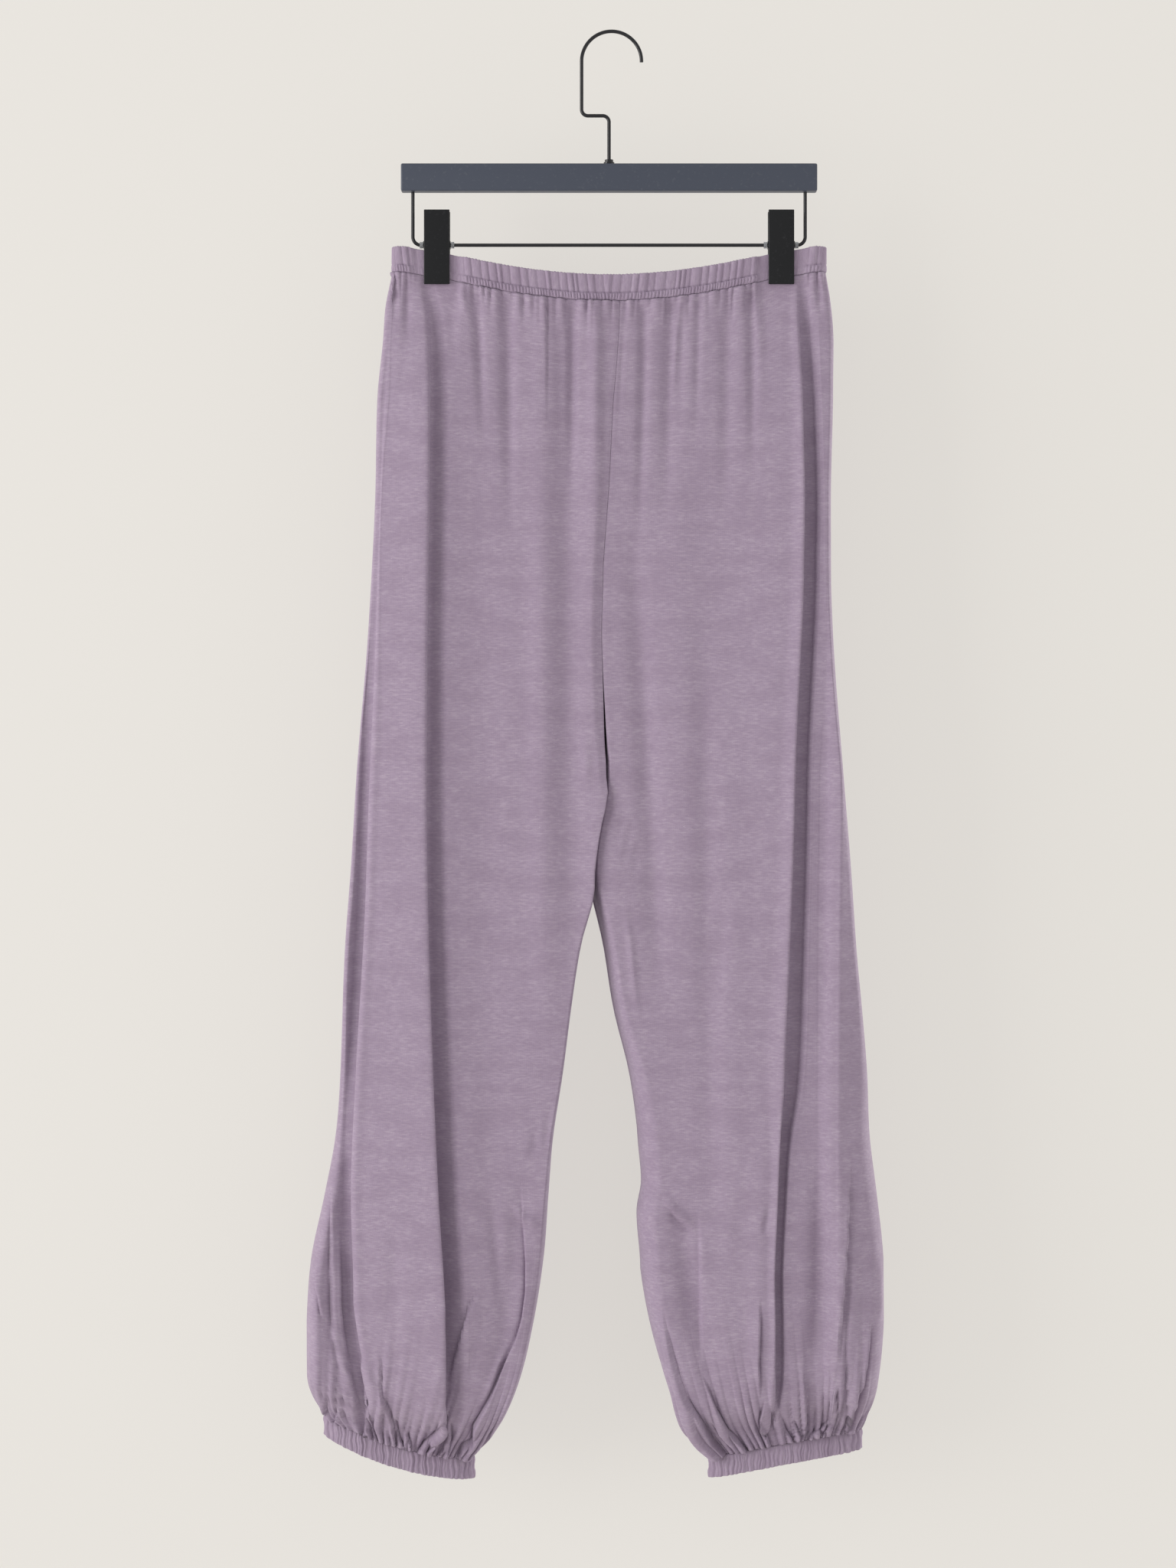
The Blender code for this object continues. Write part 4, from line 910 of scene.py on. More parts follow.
def shell(name, points, facing, settings, material):
    """A thin cloth wall through a grid of points, with its lengths as its UV map."""
    data = grid_mesh(name, points)
    normals = np.empty(len(data.polygons) * 3)
    data.polygons.foreach_get("normal", normals)
    if normals[1::3].sum() * facing < 0:
        data.flip_normals()
    piece = add_piece(name, data, material)
    wall = piece.modifiers.new("Cloth thickness", "SOLIDIFY")
    wall.thickness = settings.wall
    wall.offset = -1
    wall.use_quality_normals = True
    return piece


def grid_mesh(name, points):
    """A grid mesh through the points, its UV map in metres along the cloth."""
    down_count, across_count = points.shape[:2]
    grid = bmesh.new()
    bmesh.ops.create_grid(grid, x_segments=across_count - 1, y_segments=down_count - 1, size=0.5)
    data = bpy.data.meshes.new(name)
    grid.to_mesh(data)
    grid.free()
    flat = np.empty(len(data.vertices) * 3)
    data.vertices.foreach_get("co", flat)
    flat = flat.reshape(-1, 3)
    column_share = flat[:, 0] / (2 * np.abs(flat[:, 0]).max()) + 0.5
    row_share = 0.5 - flat[:, 1] / (2 * np.abs(flat[:, 1]).max())
    column = np.rint(column_share * (across_count - 1)).astype(int)
    row = np.rint(row_share * (down_count - 1)).astype(int)
    data.vertices.foreach_set("co", (points[row, column] * MM).ravel())
    steps = np.linalg.norm(np.diff(points, axis=1), axis=2)
    along = np.concatenate([np.zeros((down_count, 1)), np.cumsum(steps, axis=1)], axis=1)
    along -= along[:, across_count // 2][:, None]
    falls = np.linalg.norm(np.diff(points, axis=0), axis=2).mean(axis=1)
    down = -np.concatenate([[0.0], np.cumsum(falls)])
    loops = np.empty(len(data.loops), dtype=int)
    data.loops.foreach_get("vertex_index", loops)
    lengths = np.stack([along[row, column], down[row]], axis=1) * MM
    layer = data.uv_layers.new(name=CLOTH_UV)
    layer.uv.foreach_set("vector", lengths[loops].ravel())
    return data


def place_object(name, data):
    """Puts a new object into the scene."""
    made = bpy.data.objects.new(name, data)
    bpy.context.scene.collection.objects.link(made)
    return made


def add_piece(name, data, material):
    """A smooth mesh object with its material."""
    data.shade_smooth()
    data.materials.append(material)
    return place_object(name, data)


def declare(piece, nodes):
    """Attaches a piece to the root body and hides the CAD nodes it stands for."""
    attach(piece, "root")
    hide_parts(*nodes)


def all_levels():
    """Heights of all rows of a panel, closer together near the cuff."""
    levels = []
    for start, end, count in ROW_BANDS:
        levels += list(np.linspace(start, end, count, endpoint=False))
    return levels + [CUFF_SEAM]


def front_columns():
    """Steps to each station interval of a front, and the columns of its two parts."""
    fold = len(LEFT_FLAP_FORM) - 1
    roll = len(LEFT_ROLL_FORM) - 1
    steps = [MAIN_STEPS] * MAIN_COLUMNS + [FLAP_STEPS] * fold + [FACE_STEPS] * FLAP_COLUMNS
    steps += [ROLL_STEPS] * roll + [SIDE_STEPS] * EDGE_COLUMNS
    valley = MAIN_STEPS * MAIN_COLUMNS + FLAP_STEPS * (fold // 2)
    return steps, {MAIN: slice(0, valley), FACE: slice(valley + FLAP_STEPS, None)}


def finish_wall(side, facing, levels, across, points, parts):
    """Adds the fine folds to a wall's points, with its seams drawn in and parted."""
    inner, outer = leg_edges(side, levels)
    share = np.clip((across - inner) / (outer - inner), 0.0, 1.0)
    level = np.array(levels)[:, None]
    from_seam = np.minimum(across - inner, outer - across)
    rise, laps = wall_rise(side, facing, points, share, parts)
    calm = edge_calm(points[:, :, 0], level) * ramp(from_seam, *FINE_CALM)
    rise = rise * calm
    rise = rise - SEAM_DIP * np.exp(-(from_seam / SEAM_WIDTH) ** 2)
    points = points + outward(points, facing) * rise[:, :, None]
    points[:, :, 0] += laps * calm
    half_gap = SEAM_GAP / 2
    inner_column, outer_column = (0, -1) if facing < 0 else (-1, 0)
    points[:, inner_column] += (side.sign * half_gap, facing * half_gap, 0)
    points[:, outer_column] += (0, facing * half_gap, 0)
    return points


def make_front(side, settings, material):
    """One front leg with its deep folds and listed creases."""
    levels = all_levels()
    inner, outer = leg_edges(side, levels)
    stations = np.array([front_stations(side, level, start, end)
                         for level, start, end in zip(levels, inner[:, 0], outer[:, 0])])
    steps, parts = front_columns()
    across = through_points(stations[:, :, 0], steps)
    back = through_points(stations[:, :, 1], steps)
    points = wall_points(side, -1, levels, across, back)
    points = finish_wall(side, -1, levels, across, points, parts)
    piece = shell("front_{}_cloth".format(side.name), points, -1, settings, material)
    declare(piece, ["front_" + side.name])


def make_back(side, settings, material):
    """One back leg with softer folds than the front's."""
    levels = all_levels()
    inner, outer = leg_edges(side, levels)
    share = np.linspace(0.0, 1.0, BACK_STEPS + 1)
    share = share - BACK_EVENING * np.sin(2 * math.pi * share)
    across = blend(outer, inner, share[None, :])
    points = wall_points(side, 1, levels, across, np.zeros(across.shape))
    points = finish_wall(side, 1, levels, across, points, None)
    piece = shell("back_{}_cloth".format(side.name), points, 1, settings, material)
    declare(piece, ["back_" + side.name])


def even_ring(half_depth, low, high, count):
    """Points and outward normals in equal steps round a flat oval, the front first."""
    angle = np.linspace(0, 2 * math.pi, RING_SAMPLES)
    x = (low + high) / 2 - (high - low) / 2 * np.cos(angle)
    y = -np.copysign(half_depth(x), np.sin(angle))
    run = np.concatenate([[0.0], np.cumsum(np.hypot(np.diff(x), np.diff(y)))])
    places = np.linspace(0, run[-1], count + 1)
    ring = np.stack([np.interp(places, run, x), np.interp(places, run, y)], axis=1)
    along = np.roll(ring[:-1], -1, axis=0) - np.roll(ring[:-1], 1, axis=0)
    normals = np.stack([along[:, 1], -along[:, 0]], axis=1)
    normals /= np.linalg.norm(normals, axis=1, keepdims=True)
    return ring, np.concatenate([normals, normals[:1]]), places


def casing_section(height, outer_steps, inner_steps):
    """Closed outline of folded cloth: (inward offset, drop from the fold, weight of relief)."""
    radius = CASING_WALL / 2
    section = []
    for share in np.linspace(1.0, 0.0, outer_steps):
        drop = radius + (height - radius) * share
        section.append((0.0, drop, 1.0))
    for angle in np.linspace(0, math.pi, CASING_ARC)[1:-1]:
        section.append((radius - radius * math.cos(angle), radius - radius * math.sin(angle),
                        max(0.0, math.cos(angle))))
    for share in np.linspace(0.0, 1.0, inner_steps):
        section.append((CASING_WALL, radius + (height - radius) * share, 0.0))
    section.append((CASING_WALL / 2, height, 0.0))
    return np.array(section)


def casing(name, ring, normals, section, relief, fold_at, seam_at, material):
    """A loop of folded cloth: the section carried round the ring, raised by the relief."""
    outward_shift = relief - section[None, :, 0]
    x = ring[:, 0][:, None] + normals[:, 0][:, None] * outward_shift
    y = ring[:, 1][:, None] + normals[:, 1][:, None] * outward_shift
    height = abs(section[:, 1].max())
    fold = fold_at(x)
    seam = seam_at(x)
    share = section[None, :, 1] / height
    near_fold = 1 - ramp(share, 0, SWELL_REACH)
    swell = np.sign(fold - seam) * EDGE_SWELL * relief.max(axis=1)[:, None] * near_fold
    z = blend(fold, seam, share) + swell
    points = np.stack([x, y, z], axis=2)
    points = np.concatenate([points, points[:, :1]], axis=1)
    points[-1] = points[0]
    data = grid_mesh(name, points)
    closed = bmesh.new()
    closed.from_mesh(data)
    bmesh.ops.remove_doubles(closed, verts=closed.verts, dist=MERGE_DISTANCE)
    bmesh.ops.recalc_face_normals(closed, faces=closed.faces)
    closed.to_mesh(data)
    closed.free()
    return add_piece(name, data, material)


def waist_relief(ring, places, section):
    """Uneven ribs of the gathered elastic, and the ladder of puffs between its two rows of sewing."""
    total = places[-1]
    lean = RIB_LEAN * section[None, :, 1] * np.sign(ring[:, 0])[:, None]
    position = np.mod(places[:, None] + lean, total)
    ribs = uneven_ribs(WAIST_RIBS, position, int(total / RIB_PITCH), total)
    ladder = uneven_ribs(LADDER, position, int(total / LADDER_PITCH), total)
    above_seam = WAIST_HEIGHT - section[None, :, 1]
    in_ladder = 1 - ramp(above_seam, *LADDER_EDGE)
    puffed = np.sqrt(np.clip(np.sin(math.pi * np.clip(above_seam / LADDER_HEIGHT, 0, 1)), 0, 1))
    rows_of_sewing = np.exp(-((above_seam - LADDER_HEIGHT) / SEWING_WIDTH) ** 2)
    relief = RIB_RISE * ribs * (1 - in_ladder) + LADDER_RISE * (LADDER_BASE + ladder) * in_ladder * puffed
    relief = relief - SEWING_DIP * rows_of_sewing
    at_end = ramp(np.abs(ring[:, 0]), WAIST_HALF - END_CALM_WIDTH, WAIST_HALF)
    calm = 1 - GRIP_CALM * clip_grip(ring[:, 0]) - END_CALM * at_end
    return relief * section[None, :, 2] * np.maximum(LEAST_RELIEF, calm)[:, None]


def make_waistband(material):
    """The waistband, one loop of cloth folded over its elastic."""
    ring, normals, places = even_ring(waist_half_depth, -WAIST_HALF, WAIST_HALF, WAIST_STEPS)
    section = casing_section(WAIST_HEIGHT, *WAIST_SECTION)
    relief = waist_relief(ring, places, section)
    piece = casing("waistband_cloth", ring, normals, section, relief, waist_top,
                   lambda x: waist_top(x) - WAIST_HEIGHT, material)
    declare(piece, ["waistband"])


def make_cuff(side, material):
    """One cuff, a loop of cloth folded over its elastic."""
    inner, outer = cuff_edges(side)
    low, high = sorted((side.sign * inner, side.sign * outer))

    def share_at(x):
        return np.clip((side.sign * x - inner) / (outer - inner), 0.0, 1.0)

    ring, normals, places = even_ring(lambda x: cuff_half_depth(share_at(x)), low, high, CUFF_STEPS)
    section = casing_section(CUFF_HEIGHT, *CUFF_SECTION)
    grooves, heights, _ = hem_grooves(side)
    share = share_at(ring[:, 0])
    position = np.where(ring[:, 1] <= 0, share, 2 - share)[:, None]
    wave = CUFF_WAVE_DROP * section[None, :, 1] + CUFF_WAVE_TURN * position
    position = position + CUFF_WAVE * np.sin(wave)
    gather, _ = puffs(np.clip(position, 0, 2), grooves, 0.5 + heights, PUCKER_SHARPNESS)
    ribs = uneven_ribs(CUFF_RIBS, np.clip(position, 0, 2), CUFF_RIB_COUNT, 2.0)
    below_seam = CUFF_HEIGHT - section[None, :, 1]
    relief = CUFF_GATHER_RISE * gather + CUFF_RIB_RISE * ribs
    relief = relief * blend(CUFF_SEAM_SHARE, 1.0, ramp(below_seam, *CUFF_SEAM_RISE))
    relief = relief * section[None, :, 2] * ramp(below_seam, *CUFF_SEAM_CALM)

    def bottom_at(x):
        return cuff_bottom(side, (side.sign * x - inner) / (outer - inner))

    piece = casing("cuff_{}_cloth".format(side.name), ring, normals, section, relief, bottom_at,
                   lambda x: bottom_at(x) + CUFF_HEIGHT, material)
    declare(piece, ["cuff_" + side.name])


def arc(centre_x, centre_z, radius, start, end, steps):
    """Points of an arc in the hanger's plane, angles in degrees from +X towards +Z."""
    points = []
    for index in range(steps + 1):
        angle = math.radians(blend(start, end, index / steps))
        points.append((centre_x + radius * math.cos(angle), centre_z + radius * math.sin(angle)))
    return points


def wire(name, route, diameter, material):
    """A round wire along a route in the hanger's plane."""
    curve = bpy.data.curves.new(name, "CURVE")
    curve.dimensions = "3D"
    curve.bevel_depth = diameter / 2 * MM
    curve.bevel_resolution = WIRE_ROUNDNESS
    curve.use_fill_caps = True
    spline = curve.splines.new("POLY")
    spline.points.add(len(route) - 1)
    for point, (x, z) in zip(spline.points, route):
        point.co = (x * MM, 0, z * MM, 1)
    curve.materials.append(material)
    return place_object(name, curve)


def block(size, centre, edge, segments):
    """A bmesh block with rounded edges, its sizes and place in millimetres."""
    mesh = bmesh.new()
    bmesh.ops.create_cube(mesh, size=1.0)
    bmesh.ops.scale(mesh, vec=[length * MM for length in size], verts=mesh.verts)
    bmesh.ops.bevel(mesh, geom=mesh.edges[:], offset=edge * MM, segments=segments, profile=0.5,
                    affect="EDGES", material=-1)
    bmesh.ops.translate(mesh, vec=[place * MM for place in centre], verts=mesh.verts)
    return mesh


def solid_piece(name, mesh, material):
    """A hard piece from a bmesh, smooth but for its sharp edges."""
    data = bpy.data.meshes.new(name)
    bmesh.ops.recalc_face_normals(mesh, faces=mesh.faces)
    mesh.to_mesh(data)
    mesh.free()
    piece = add_piece(name, data, material)
    data.set_sharp_from_angle(angle=math.radians(SHARP_ANGLE))
    return piece


def make_hook(material):
    """The hook: its crown, the jog to the middle and the shank down to the ferrule."""
    left = HOOK_CENTRE_X - HOOK_RADIUS
    crown = HOOK_WIRE / 2 - HOOK_RADIUS
    route = arc(HOOK_CENTRE_X, crown, HOOK_RADIUS, HOOK_TIP, 180, CROWN_STEPS)
    route += arc(left + HOOK_BEND, HOOK_JOG + HOOK_BEND, HOOK_BEND, 180, 270, BEND_STEPS)
    route += arc(-HOOK_BEND, HOOK_JOG - HOOK_BEND, HOOK_BEND, 90, 0, BEND_STEPS)
    route.append((0.0, HOOK_FOOT))
    declare(wire("hook_wire", route, HOOK_WIRE, material), ["hook"])


def make_rail(material):
    """The wire frame under the bar."""
    start = BAR_BOTTOM - SEAM_GAP
    bend_z = ROD_HEIGHT + ROD_BEND
    route = [(-ROD_HALF, start)]
    route += arc(-ROD_HALF + ROD_BEND, bend_z, ROD_BEND, 180, 270, BEND_STEPS)
    route += arc(ROD_HALF - ROD_BEND, bend_z, ROD_BEND, 270, 360, BEND_STEPS)
    route.append((ROD_HALF, start))
    declare(wire("clip_rail_wire", route, ROD_WIRE, material), ["clip_rail"])


def make_bar(material):
    """The straight bar with its eased edges."""
    middle = (BAR_TOP + BAR_BOTTOM) / 2
    mesh = block((BAR_LENGTH, BAR_DEPTH, BAR_TOP - BAR_BOTTOM), (0, 0, middle), BAR_EDGE, 4)
    declare(solid_piece("bar_painted", mesh, material), ["hanger_bar"])


def make_clip(side, material):
    """The two plates of a clip, in front of the waistband and behind it."""
    x = side.sign * CLIP_X
    height = CLIP_TOP - CLIP_BOTTOM
    middle = (CLIP_TOP + CLIP_BOTTOM) / 2
    for facing, place in ((-1, "front"), (1, "back")):
        centre = (x, facing * (CLIP_SEAT + CLIP_PLATE / 2), middle)
        mesh = block((CLIP_WIDTH, CLIP_PLATE, height), centre, CLIP_EDGE, 3)
        name = "clip_{}_{}".format(side.name, place)
        declare(solid_piece(name + "_plate", mesh, material), [name])


def make_collar(name, start, material):
    """A clear stop beside a clip, a short tube round the rail."""
    inner = (ROD_WIRE / 2 + SEAM_GAP) * MM
    outer = COLLAR_DIAMETER / 2 * MM
    low = start * MM
    high = (start + COLLAR_WIDTH) * MM
    mesh = bmesh.new()
    ring = [mesh.verts.new((x, 0, ROD_HEIGHT * MM + radius))
            for x, radius in ((low, inner), (low, outer), (high, outer), (high, inner))]
    edges = [mesh.edges.new((first, second)) for first, second in zip(ring, ring[1:] + ring[:1])]
    bmesh.ops.spin(mesh, geom=ring + edges, cent=(0, 0, ROD_HEIGHT * MM), axis=(1, 0, 0),
                   angle=2 * math.pi, steps=COLLAR_STEPS, use_merge=True)
    declare(solid_piece(name + "_clear", mesh, material), [name])


def repaint(name, material):
    """Gives a node of the frame, which stays as it is, its finish."""
    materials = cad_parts[name].data.materials
    materials.clear()
    materials.append(material)


def link(tree, source, target):
    """Joins an output socket to an input socket."""
    tree.links.new(source, target)


def node(tree, kind, inputs=None, **values):
    """A new node with its properties, and constants on its input sockets."""
    made = tree.nodes.new(kind)
    for key, value in values.items():
        setattr(made, key, value)
    set_inputs(made, inputs or {})
    return made


def set_inputs(made, inputs):
    """Sets constants on a node's input sockets."""
    for name, value in inputs.items():
        made.inputs[name].default_value = value


def new_group(name, inputs, outputs):
    """A node group with the named sockets, its input node and its output node."""
    group = bpy.data.node_groups.new(name, "ShaderNodeTree")
    for direction, sockets in (("INPUT", inputs), ("OUTPUT", outputs)):
        for socket, kind in sockets.items():
            group.interface.new_socket(name=socket, in_out=direction, socket_type="NodeSocket" + kind)
    return group, node(group, "NodeGroupInput"), node(group, "NodeGroupOutput")


def new_material(name, inputs):
    """A material, its tree and its Principled shader with constants on its sockets."""
    material = bpy.data.materials.new(name)
    material.use_nodes = True
    shader = material.node_tree.nodes["Principled BSDF"]
    set_inputs(shader, inputs)
    return material, material.node_tree, shader


def mixed(tree, factor, first, second):
    """The second colour over the first by a factor."""
    mix = node(tree, "ShaderNodeMix", data_type="RGBA")
    link(tree, factor, mix.inputs["Factor"])
    link(tree, first, mix.inputs["A"])
    link(tree, second, mix.inputs["B"])
    return mix.outputs["Result"]


def feed_shader(tree, shader, group, inputs, relief, distance):
    """Feeds a shader's colour, roughness and bump from a node group."""
    finish = node(tree, "ShaderNodeGroup", node_tree=group)
    set_inputs(finish, inputs)
    bump = node(tree, "ShaderNodeBump", {"Strength": relief, "Distance": distance})
    link(tree, finish.outputs["Height"], bump.inputs["Height"])
    link(tree, finish.outputs["Color"], shader.inputs["Base Color"])
    link(tree, finish.outputs["Roughness"], shader.inputs["Roughness"])
    link(tree, bump.outputs["Normal"], shader.inputs["Normal"])
    return finish


def math_node(tree, operation, first, second):
    """The result of a sum on two sockets or constants."""
    made = node(tree, "ShaderNodeMath", operation=operation)
    for socket, value in zip(made.inputs, (first, second)):
        if isinstance(value, (int, float)):
            socket.default_value = value
        else:
            link(tree, value, socket)
    return made.outputs[0]


def heather_group():
    """Knitted heather: slubs that run along the rows, pale flecks and the knit's own relief."""
    group, given, result = new_group(
        "Heathered jersey",
        {"Vector": "Vector", "Base": "Color", "Pale": "Color", "Deep": "Color", "Slub": "Float",
         "Fleck": "Float"},
        {"Color": "Color", "Height": "Float", "Roughness": "Float"})

    def noise(scale, detail, roughness=0.5):
        mapping = node(group, "ShaderNodeMapping", {"Scale": scale})
        link(group, given.outputs["Vector"], mapping.inputs["Vector"])
        texture = node(group, "ShaderNodeTexNoise", {"Scale": 1.0, "Detail": detail, "Roughness": roughness})
        link(group, mapping.outputs["Vector"], texture.inputs["Vector"])
        return texture.outputs["Fac"]

    def stepped(value, low, high, strength):
        remap = node(group, "ShaderNodeMapRange", {"From Min": low, "From Max": high},
                     interpolation_type="SMOOTHSTEP")
        link(group, value, remap.inputs["Value"])
        return math_node(group, "MULTIPLY", remap.outputs["Result"], strength)

    slubs = noise((190, 900, 1), 3.0, 0.6)
    long_slubs = noise((130, 560, 1), 3.0, 0.6)
    flecks = noise((420, 700, 1), 1.0)
    cloud = noise((26, 60, 1), 3.0)
    deep, pale, slub = given.outputs["Deep"], given.outputs["Pale"], given.outputs["Slub"]
    colour = mixed(group, stepped(slubs, 0.44, 0.62, slub), given.outputs["Base"], deep)
    colour = mixed(group, stepped(long_slubs, 0.47, 0.66, slub), colour, pale)
    colour = mixed(group, stepped(flecks, 0.70, 0.78, given.outputs["Fleck"]), colour, pale)
    colour = mixed(group, stepped(cloud, 0.42, 0.62, 0.3), colour, deep)
    link(group, colour, result.inputs["Color"])
    wales = node(group, "ShaderNodeTexWave", {"Scale": 330, "Distortion": 1.5}, wave_type="BANDS",
                 bands_direction="X")
    link(group, given.outputs["Vector"], wales.inputs["Vector"])
    height = math_node(group, "MULTIPLY", wales.outputs["Fac"], 0.35)
    height = math_node(group, "ADD", height, slubs)
    height = math_node(group, "ADD", height, math_node(group, "MULTIPLY", flecks, 0.5))
    link(group, height, result.inputs["Height"])
    rough = math_node(group, "ADD", math_node(group, "MULTIPLY", slubs, 0.12), 0.8)
    link(group, rough, result.inputs["Roughness"])
    return group


def cloth_material(name, settings, slub, relief):
    """Matte jersey on the cloth's own lengths, with a soft sheen."""
    material, tree, shader = new_material(name, {
        "Specular IOR Level": 0.25, "Sheen Weight": 0.25, "Sheen Roughness": 0.5,
        "Sheen Tint": (0.9, 0.8, 0.95, 1)})
    group = bpy.data.node_groups.get("Heathered jersey") or heather_group()
    yarns = {"Base": (*settings.colour, 1), "Pale": (*settings.pale_yarn, 1),
             "Deep": (*settings.deep_yarn, 1), "Slub": slub, "Fleck": 0.8}
    knit = feed_shader(tree, shader, group, yarns, relief, 0.0002)
    uv = node(tree, "ShaderNodeUVMap", uv_map=CLOTH_UV)
    link(tree, uv.outputs["UV"], knit.inputs["Vector"])
    return material


def wear_group():
    """Painted metal: faint cloudiness, fine speckle and small scuffs."""
    group, given, result = new_group(
        "Handled finish",
        {"Base": "Color", "Worn": "Color", "Roughness": "Float", "Scuffs": "Float"},
        {"Color": "Color", "Roughness": "Float", "Height": "Float"})
    place = node(group, "ShaderNodeTexCoord")

    def noise(scale, detail):
        texture = node(group, "ShaderNodeTexNoise", {"Scale": scale, "Detail": detail})
        link(group, place.outputs["Object"], texture.inputs["Vector"])
        return texture.outputs["Fac"]

    scuffed = node(group, "ShaderNodeMapRange", {"From Min": 0.6, "From Max": 0.72})
    link(group, noise(400, 5.0), scuffed.inputs["Value"])
    worn_share = math_node(group, "MULTIPLY", scuffed.outputs["Result"], given.outputs["Scuffs"])
    colour = mixed(group, worn_share, given.outputs["Base"], given.outputs["Worn"])
    link(group, colour, result.inputs["Color"])
    rough = math_node(group, "MULTIPLY", math_node(group, "SUBTRACT", noise(60, 3.0), 0.5), 0.12)
    rough = math_node(group, "ADD", rough, given.outputs["Roughness"])
    link(group, rough, result.inputs["Roughness"])
    link(group, noise(2500, 2.0), result.inputs["Height"])
    return group


def painted_material(name, group, colour, worn, roughness, relief, coat, specular):
    """Paint or lacquer with small signs of handling."""
    material, tree, shader = new_material(name, {
        "Specular IOR Level": specular, "Coat Weight": coat, "Coat Roughness": 0.1})
    paint = {"Base": (*colour, 1), "Worn": (*worn, 1), "Roughness": roughness, "Scuffs": 0.3}
    feed_shader(tree, shader, group, paint, relief, 0.00005)
    return material


def clear_material(settings):
    """The clear plastic of the stops."""
    material, _, _ = new_material("Clear grey plastic", {
        "Base Color": (*settings.collar_colour, 1), "Transmission Weight": 0.7, "Roughness": 0.18})
    return material


def plain_material(name, colour, roughness, glow):
    """A matte surface that gives a share of its light evenly."""
    material, _, _ = new_material(name, {
        "Base Color": (*[part * (1 - glow) for part in colour], 1), "Roughness": roughness,
        "Emission Color": (*colour, 1), "Emission Strength": glow})
    return material


def one_sided(material):
    """Makes a material seen from its front alone and free of shadows.

    The backdrop then never hides or darkens the garment's back.
    """
    tree = material.node_tree
    shader = tree.nodes["Principled BSDF"]
    output = tree.nodes["Material Output"]
    path = node(tree, "ShaderNodeLightPath")
    geometry = node(tree, "ShaderNodeNewGeometry")
    clear = node(tree, "ShaderNodeBsdfTransparent")
    mix = node(tree, "ShaderNodeMixShader")
    hidden = math_node(tree, "MULTIPLY", path.outputs["Is Camera Ray"], geometry.outputs["Backfacing"])
    hidden = math_node(tree, "MAXIMUM", hidden, path.outputs["Is Shadow Ray"])
    link(tree, hidden, mix.inputs["Fac"])
    link(tree, shader.outputs["BSDF"], mix.inputs[1])
    link(tree, clear.outputs["BSDF"], mix.inputs[2])
    link(tree, mix.outputs["Shader"], output.inputs["Surface"])


def stage_plane(name, corners, material):
    """A flat piece of the stage."""
    mesh = bmesh.new()
    face = mesh.faces.new([mesh.verts.new(corner) for corner in corners])
    face.normal_update()
    data = bpy.data.meshes.new(name)
    mesh.to_mesh(data)
    mesh.free()
    add_piece(name, data, material)


def area_light(name, place, size, power):
    """A square soft light that faces the garment."""
    light = bpy.data.lights.new(name, "AREA")
    light.shape = "RECTANGLE"
    light.size = size
    light.size_y = size
    light.energy = power
    light.color = LIGHT_COLOUR
    lamp = place_object(name, light)
    lamp.location = place
    lamp.rotation_euler = (Vector(LIGHT_TARGET) - Vector(place)).to_track_quat("-Z", "Y").to_euler()


def colour_setting(name, description, default):
    """A colour in the panel."""
    return FloatVectorProperty(name=name, description=description, default=default, min=0, max=1, size=3,
                               subtype="COLOR")


def share_setting(name, description, default):
    """A share from 0 to 1 in the panel."""
    return FloatProperty(name=name, description=description, default=default, min=0, max=1,
                         subtype="FACTOR")


def power_setting(name, description, default):
    """A lamp's power in the panel, in watts."""
    return FloatProperty(name=name, description=description, default=default, min=0, max=900,
                         subtype="POWER")


class ClothSettings(bpy.types.PropertyGroup):
    wall: FloatProperty(name="Cloth thickness", description="Thickness of the jersey shells",
                        default=SHELL_WALL * MM, min=0.0005, max=0.003, unit="LENGTH", precision=4)
    colour: colour_setting("Colour", "Main colour of the heathered jersey", (0.320, 0.254, 0.342))
    pale_yarn: colour_setting("Pale yarn", "Colour of the pale slubs and flecks", (0.43, 0.36, 0.44))
    deep_yarn: colour_setting("Deep yarn", "Colour of the darker slubs", (0.24, 0.18, 0.255))
    slub: share_setting("Slub strength", "How much the slubs show along the rows", 0.4)


class HangerSettings(bpy.types.PropertyGroup):
    bar_colour: colour_setting("Bar colour", "Paint of the hanger's bar", (0.044, 0.053, 0.079))
    wire_colour: colour_setting("Wire colour", "Lacquer of the hook and the rail", (0.012, 0.012, 0.015))
    clip_colour: colour_setting("Clip colour", "Paint of the clips", (0.005, 0.0055, 0.007))
    collar_colour: colour_setting("Collar colour", "Plastic of the clear stops", (0.62, 0.64, 0.67))


class StudioSettings(bpy.types.PropertyGroup):
    wall_colour: colour_setting("Backdrop colour", "Pale backdrop and floor", (0.77, 0.745, 0.705))
    wall_glow: share_setting("Backdrop glow", "Share of the backdrop's light that is even", 0.75)
    wall_distance: FloatProperty(name="Backdrop distance", description="From the hook to the backdrop",
                                 default=0.08, min=0.05, max=2, unit="LENGTH")
    key_power: power_setting("Window light", "Power of the soft light at the left", 160.0)
    fill_power: power_setting("Fill light", "Power of the weak soft light at the right", 11.0)
    back_power: power_setting("Back light", "Power of the soft light behind, at the right", 45.0)
    sky: FloatProperty(name="Room light", description="Strength of the even light all round",
                       default=0.72, min=0, max=5)
    distance: FloatProperty(name="Camera distance", description="From the camera to the garment",
                            default=2.6, min=0.5, max=10, unit="LENGTH")
    lens: FloatProperty(name="Lens", description="Focal length on a sensor 36 mm high",
                        default=75.2, min=10, max=300, unit="CAMERA")


